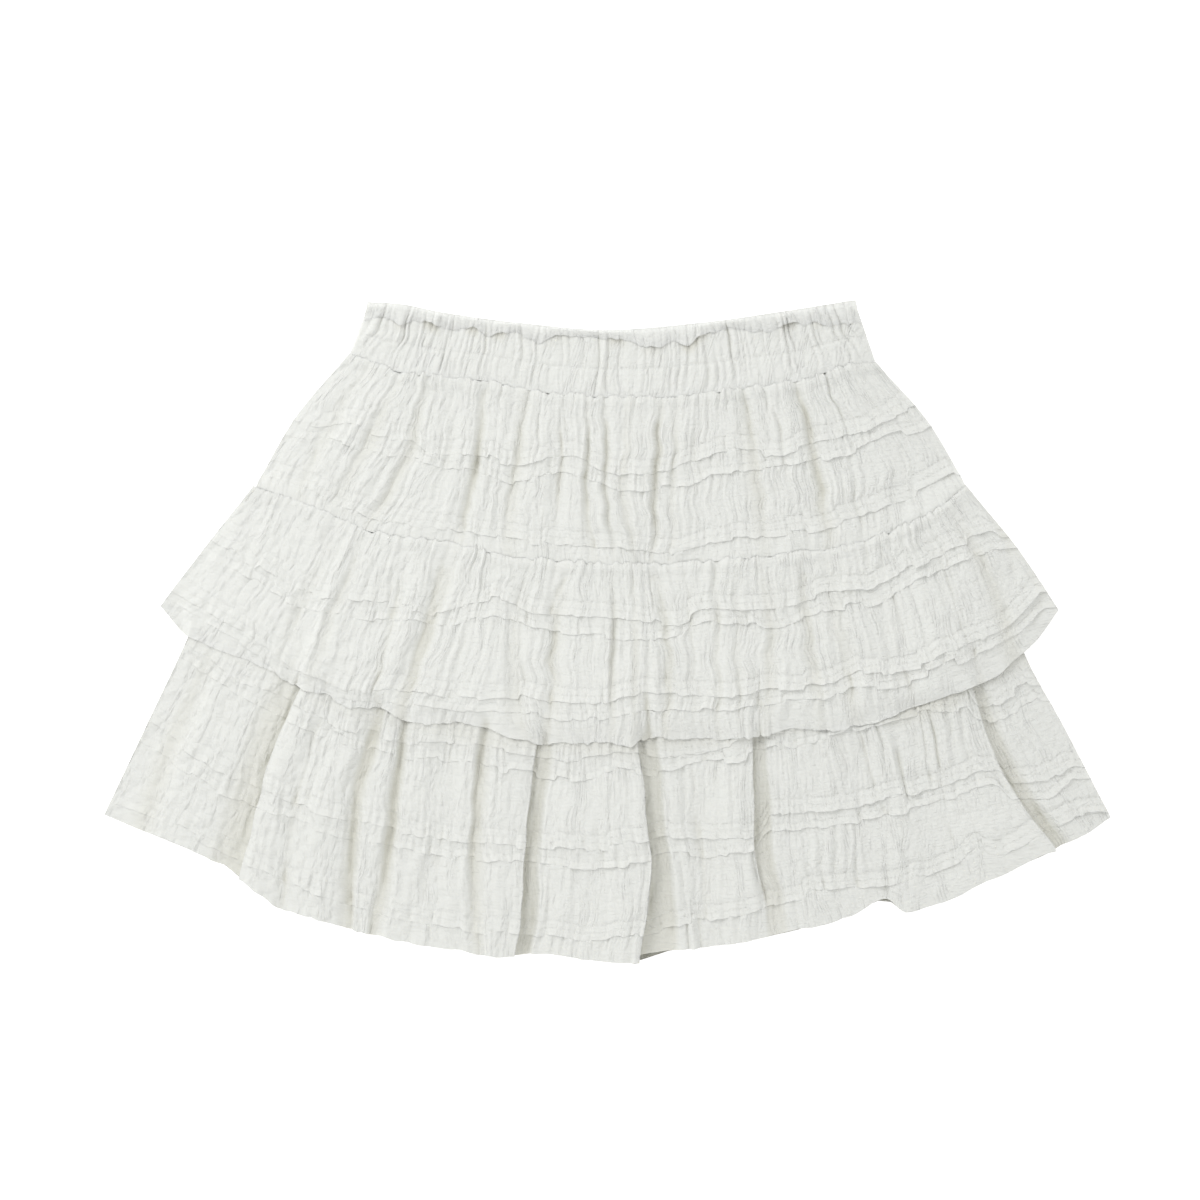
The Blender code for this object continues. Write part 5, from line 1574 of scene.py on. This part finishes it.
@dataclass(frozen=True)
class Value:
    """A number that a node gives, so that what is worked out from it can be written as a sum."""

    socket: Socket

    def sum(self, operation: str, *terms: "Value | float") -> "Value":
        """The outcome of one operation on values and plain numbers."""
        links = {k: term.socket for k, term in enumerate(terms) if isinstance(term, Value)}
        numbers = {k: term for k, term in enumerate(terms) if not isinstance(term, Value)}
        return Value(add_node(self.socket.id_data, "Math", links, numbers, operation=operation).outputs[0])

    def __add__(self, other: "Value | float") -> "Value":
        """This value plus another."""
        return self.sum("ADD", self, other)

    def __sub__(self, other: "Value | float") -> "Value":
        """This value less another."""
        return self.sum("SUBTRACT", self, other)

    def __rsub__(self, number: float) -> "Value":
        """A plain number less this value."""
        return self.sum("SUBTRACT", number, self)

    def __mul__(self, other: "Value | float") -> "Value":
        """This value times another."""
        return self.sum("MULTIPLY", self, other)

    def __pow__(self, power: float) -> "Value":
        """This value to a power."""
        return self.sum("POWER", self, power)

    def __abs__(self) -> "Value":
        """This value without its sign."""
        return self.sum("ABSOLUTE", self)

    def clamped(self) -> "Value":
        """This sum, kept between 0 and 1."""
        self.socket.node.use_clamp = True
        return self

    def pleats(self) -> "Value":
        """Rounded pleats side by side, for a value that turns by pi over each of them."""
        return abs(self.sum("SINE", self)) ** 0.7


@dataclass(frozen=True)
class CrinkledGauze:
    """Washed double gauze: puckered along the grain, with fine ribs across it, matt and softly fuzzy.

    The puckers break the light into short upright streaks, and the ribs show as a faint waffle. Where a tuck
    presses the cloth, both fade and the plain weave shows. Needle holes are small dents. The colour holds
    painted shade: it goes towards a warm shade colour in the puckers' valleys, in needle holes, in folds and
    gullies, and under overhanging edges.
    """

    cloth: str = "#E3E4E0"
    # painted shade: the warm, darker colour that folds, gullies, crinkle valleys and needle holes are painted
    # towards
    painted_shade: str = "#D5D4CA"
    pucker: float = 2.2  # spacing of the puckers, mm
    pucker_length: float = 7.0
    blister: float = 2.1  # width of the small blisters that the puckers break into
    blister_length: float = 3.4
    rib: float = 1.5  # spacing of the ribs across the grain
    rib_length: float = 4.0
    cord: float = 2.1  # spacing of the fine pleats that run down the grain
    row: float = 1.7  # spacing of the weft's own small pleats
    pillow: float = 3.8  # width of the soft lumps where the cloth isn't pulled straight
    weave: float = 0.55
    pucker_height: float = 0.16
    blister_height: float = 0.34
    rib_height: float = 0.14
    cord_height: float = 0.28
    row_height: float = 0.09
    pillow_height: float = 1.0
    weave_height: float = 0.1
    hole_depth: float = 0.3
    roughness: float = 0.92
    sheen: float = 0.15
    glow: float = 0.35  # share of the light that spreads inside the cloth

    def build(self) -> Material:
        """Makes the material."""
        material, tree, shader = new_material("crinkled_cotton_gauze")
        cut = add_node(tree, "UVMap", uv_map="cut").outputs[0]
        pressed, stitch, painted_shade = (
            Value(add_node(tree, "Attribute", attribute_name=name).outputs["Fac"])
            for name in ("pressed", "stitch", "painted_shade")
        )

        def axis(place: Socket, name: str) -> Value:
            """One coordinate of a place."""
            return Value(add_node(tree, "SeparateXYZ", {0: place}).outputs[name])

        def scaled(width: float, length: float, shift: float = 0.0, **links) -> Socket:
            """The place on the cut, counted in steps of a width and a length."""
            values = {"Scale": (1 / (width * MM), 1 / (length * MM), 1), "Location": (shift, shift, shift)}
            return add_node(tree, "Mapping", {0: cut, **links}, values).outputs[0]

        def noise(place: Socket, scale: float, detail: float, distortion: float = 0.0) -> Value:
            """Soft noise."""
            values = {"Scale": scale, "Detail": detail, "Distortion": distortion}
            node = add_node(tree, "TexNoise", {"Vector": place}, values, noise_dimensions="2D")
            return Value(node.outputs["Fac"])

        def puckers(across: float, along: float, seed: float) -> Value:
            """Streaks of the given size, high along their crests."""
            return (abs(noise(scaled(across, along, seed), 1.0, 2.0, 0.35) - 0.5) * 4.0).clamped()

        def lumps(scale: float) -> Value:
            """Soft lumps side by side, as many times as wide as the blisters."""
            cells = add_node(tree, "TexVoronoi", {"Vector": laid}, {"Scale": scale, "Smoothness": 0.2},
                             feature="SMOOTH_F1", voronoi_dimensions="2D")
            return (1.0 - Value(cells.outputs["Distance"]) * 1.3).clamped()

        def from_left(end: float, first: float, last: float) -> Value:
            """A value that changes from the skirt's left side to a place across it, in metres."""
            values = {"From Min": -0.15, "From Max": end, "To Min": first, "To Max": last}
            return Value(add_node(tree, "MapRange", {"Value": across.socket}, values).outputs["Result"])

        across = axis(add_node(tree, "TexCoord").outputs["Object"], "X")
        coarser, looser = from_left(0.2, 0.6, 1.4), from_left(0.05, self.pillow_height, 0.1)
        patch, grit = noise(cut, 1 / (14 * MM), 1.0), noise(cut, 1 / (self.weave * MM), 2.0)
        drift = noise(scaled(9, 26), 1.0, 1.0)
        sway = add_node(tree, "CombineXYZ", {"X": (drift * 4.0).socket}).outputs[0]
        laid = scaled(self.blister, self.blister_length, Location=sway)

        loose = 1.0 - pressed * 0.4
        fine = puckers(self.pucker, self.pucker_length, 3.0)
        broad = puckers(2.1 * self.pucker, 1.7 * self.pucker_length, 11.0)
        crinkle = (fine * 0.6 + broad * 0.4) * loose
        cords = (axis(cut, "X") * (math.pi / (self.cord * MM)) + drift * 14.0).pleats()
        cords = cords * ((patch - 0.28) * 2.4).clamped() * loose
        rows = (axis(cut, "Y") * (math.pi / (self.row * MM)) + patch * 9.0).pleats()
        height = crinkle * self.pucker_height + cords * self.cord_height
        height = height + puckers(self.rib_length, self.rib, 23.0) * self.rib_height
        height = height + lumps(1.0) * self.blister_height + rows * self.row_height + grit * self.weave_height
        height = height * coarser + lumps(self.blister / self.pillow) * looser

        beat = axis(cut, "X") * (1 / (STITCH_PITCH * MM)) + patch * 6.0
        dash = beat.sum("LESS_THAN", beat.sum("FRACT", beat), 0.42)
        hole = dash * (1.0 - stitch * (1 / 0.55)).clamped() * (coarser - 0.4)
        height = height - hole * self.hole_depth
        bump = add_node(tree, "Bump", {"Height": height.socket}, {"Strength": 0.9, "Distance": 1 * MM})

        # Painted shade: the colour goes towards the shade colour in the puckers' valleys, wherever the marks
        # paint shade, and in needle holes.
        shade = ((1.0 - crinkle) * 0.05 + painted_shade * 0.8 + hole * 0.25).clamped()
        ends = {"A": linear(self.cloth), "B": linear(self.painted_shade)}
        colour = add_node(tree, "Mix", {"Factor": shade.socket}, ends, data_type="RGBA")
        set_node(shader, {"Normal": bump.outputs[0], "Base Color": colour.outputs["Result"]}, {
            "Roughness": self.roughness, "Sheen Weight": self.sheen, "Sheen Roughness": 0.6,
            "Specular IOR Level": 0.2, "Subsurface Weight": self.glow, "Subsurface Radius": (1.0, 0.98, 0.94),
            "Subsurface Scale": 1.5 * MM,
        })
        return material


@dataclass(frozen=True)
class SewingThread:
    """Spun cotton thread, a little brighter than the gauze, with a fine twist."""

    colour: str = "#E5E6E3"
    twist: float = 0.35  # spacing of the twist, mm

    def build(self) -> Material:
        """Makes the material."""
        material, tree, shader = new_material("spun_cotton_thread")
        place = add_node(tree, "TexCoord").outputs["Object"]
        twist = add_node(tree, "TexWave", {"Vector": place}, {"Scale": 1 / (self.twist * MM) / 20},
                         bands_direction="DIAGONAL")
        depth = {"Strength": 0.4, "Distance": 0.1 * MM}
        bump = add_node(tree, "Bump", {"Height": twist.outputs["Fac"]}, depth)
        set_node(shader, {"Normal": bump.outputs[0]}, {"Base Color": linear(self.colour), "Roughness": 0.8})
        return material


class Lamp(NamedTuple):
    """A square soft lamp that points at the skirt's middle. Place and size are in metres, power in watts."""

    name: str
    place: tuple[float, float, float]
    size: float
    power: float


@dataclass
class Studio:
    """A white table seen straight from above, under broad soft light that comes mostly from the waist."""

    picture_width: float = 600.0  # what the camera sees at the height of the skirt
    look_at: tuple[float, float, float] = (-3.75, 15.5, 5.0)
    lens: float = 135.0
    sensor: float = 36.0
    floor_size: float = 6000.0
    floor_drop: float = 0.4  # keeps the floor just under the cloth
    table_glow: float = 0.5  # lit from inside, so that the skirt casts next to no shadow on it
    lamps: Sequence[Lamp] = (
        Lamp("key", (-1.05, 1.0, 1.35), 1.0, 12.5),
        Lamp("fill", (0.9, -1.2, 2.2), 1.6, 2.0),
    )
    sky: float = 0.863

    def floor(self) -> None:
        """Lays the white surface."""
        bpy.ops.object.select_all(action="DESELECT")
        bpy.ops.mesh.primitive_plane_add(size=self.floor_size * MM, location=(0, 0, -self.floor_drop * MM))
        floor = bpy.context.object
        floor.name = "floor"
        material, _, shader = new_material("lit_white_table")
        set_node(shader, {}, {
            "Base Color": linear("#FDFDFD"), "Roughness": 0.9,
            "Emission Color": (1, 1, 1, 1), "Emission Strength": self.table_glow,
        })
        floor.data.materials.append(material)

    def light(self) -> None:
        """Hangs one broad lamp towards the waist, a second one opposite, and fills with a white sky."""
        for name, place, size, power in self.lamps:
            lamp = bpy.data.lights.new(name, "AREA")
            lamp.size, lamp.energy = size, power
            holder = stood(name, lamp)
            holder.location = place
            x, y, z = place
            holder.rotation_euler = (math.atan2(math.hypot(x, y), z), 0, math.atan2(x, -y))
        world = bpy.data.worlds.new("white_sky")
        bpy.context.scene.world = world
        world.use_nodes = True
        set_node(world.node_tree.nodes["Background"], {}, {"Color": (1, 1, 1, 1), "Strength": self.sky})

    def camera(self) -> None:
        """Sets the camera straight above, far enough for its long lens."""
        data = bpy.data.cameras.new("camera")
        data.lens, data.sensor_width = self.lens, self.sensor
        camera = stood("camera", data)
        x, y, z = self.look_at
        camera.location = (x * MM, y * MM, (z + self.picture_width * self.lens / self.sensor) * MM)
        bpy.context.scene.camera = camera

    def build(self) -> None:
        """Sets up the floor, lights and camera."""
        self.floor()
        self.light()
        self.camera()
        bpy.context.scene.view_settings.view_transform = "Standard"


@dataclass
class Skirt:
    """The whole skirt: two back ruffles, two front ones, the yoke's two panels and the waist."""

    gauze: Material
    thread_finish: Material
    thread: Thread = field(default_factory=Thread, init=False)
    ruffle_level: Level | None = field(default=None, init=False)
    yoke_level: Level | None = field(default=None, init=False)

    @staticmethod
    def seam_lift(v: Array) -> Array:
        """The yoke's rise over the seam allowances at its foot."""
        return YOKE_SEAM_LIFT * smooth((v - 0.6) / 0.4)

    def ruffles(self) -> None:
        """Lays the four ruffle panels, the lowest one first."""
        seam, pile = shifted(RUFFLE_SEAM, -GAP / 2), Pile()
        upper = UPPER_FOLDS, HALVES, seam
        ends = UPPER_FOLDS[0].x_top + SIDE_INSET, UPPER_FOLDS[-1].x_top - SIDE_INSET
        lower = LOWER_FOLDS, LOWER_STATIONS, seam, None, ends
        BackPanel("upper_ruffle_under", "upper_ruffle_back", BackTier(*upper), (500, 92), ["floor"],
                  1.3, 2.4, (0.34, 0.42, 0.8, 0.87)).build(pile, self.gauze)
        BackPanel("lower_ruffle_under", "lower_ruffle_back", BackTier(*lower), (560, 190),
                  ["floor", "upper_ruffle_under"],
                  1.5, 2.6, (0.5, 0.54, 0.73, 0.775, 0.945)).build(pile, self.gauze)
        FrontPanel("lower_ruffle", "lower_ruffle_front", Tier(*lower), (600, 195), ["lower_ruffle_under"],
                   0.62, 2.0, LOWER_TUCKS, LOWER_CREASES,
                   (Gathers(11, 7.5, 1.5, 0.06, roundness=1.1), Gathers(14, 3.2, 0.6, 0.05)),
                   covered=UNDER_RUFFLE - 0.04, seed=100).build(pile, self.thread, self.gauze)
        top = FrontPanel("upper_ruffle", "upper_ruffle_front", Tier(*upper), (540, 100), ["lower_ruffle"],
                         0.5, 1.7, UPPER_TUCKS, UPPER_CREASES,
                         (Gathers(12, 6.5, 1.3, 0.08, roundness=1.1), Gathers(15, 2.9, 0.5, 0.06)),
                         seed=200, loft=1.0, puff=0.8, settle=0.8, head_lift=2.2)
        top.build(pile, self.thread, self.gauze)
        self.ruffle_level = top.head_level

    def yoke(self) -> None:
        """Lays the yoke's two panels."""
        shape = YOKE_FOLDS, HALVES, shifted(WAIST_SEAM, -GAP / 2), shifted(RUFFLE_SEAM, GAP / 2)
        pile = Pile()
        BackPanel("yoke_under", "yoke_back", BackTier(*shape), (370, 84), ["floor"],
                  1.2, 2.2, (0.46, 0.57, 0.92)).build(pile, self.gauze)
        front = FrontPanel("yoke", "yoke_front", Tier(*shape), (430, 90), ["yoke_under"],
                           0.45, 1.6, YOKE_TUCKS, YOKE_CREASES,
                           (Gathers(13, 6.0, 1.3, 0.08, roundness=1.0), Gathers(16, 2.8, 0.5, 0.06)),
                           self.seam_lift, seed=300, puff=0.6, meets=self.ruffle_level, head_lift=2.4)
        front.build(pile, self.thread, self.gauze)
        self.yoke_level = front.head_level

    def waist(self) -> None:
        """Makes the casing and both headers."""
        band = Waistband(self.yoke_level)
        band.header_under(self.gauze)
        band.casing(self.thread, self.gauze)
        band.header(self.gauze)

    def build(self) -> None:
        """Makes the whole skirt, and last the thread of every line that has been sewn."""
        self.ruffles()
        self.yoke()
        self.waist()
        self.thread.build(self.thread_finish)


def main() -> None:
    """Loads the frame and dresses it."""
    logging.basicConfig(level=logging.INFO, format="%(name)s: %(message)s")
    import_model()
    Studio().build()
    Skirt(CrinkledGauze().build(), SewingThread().build()).build()


if __name__ == "__main__":
    main()
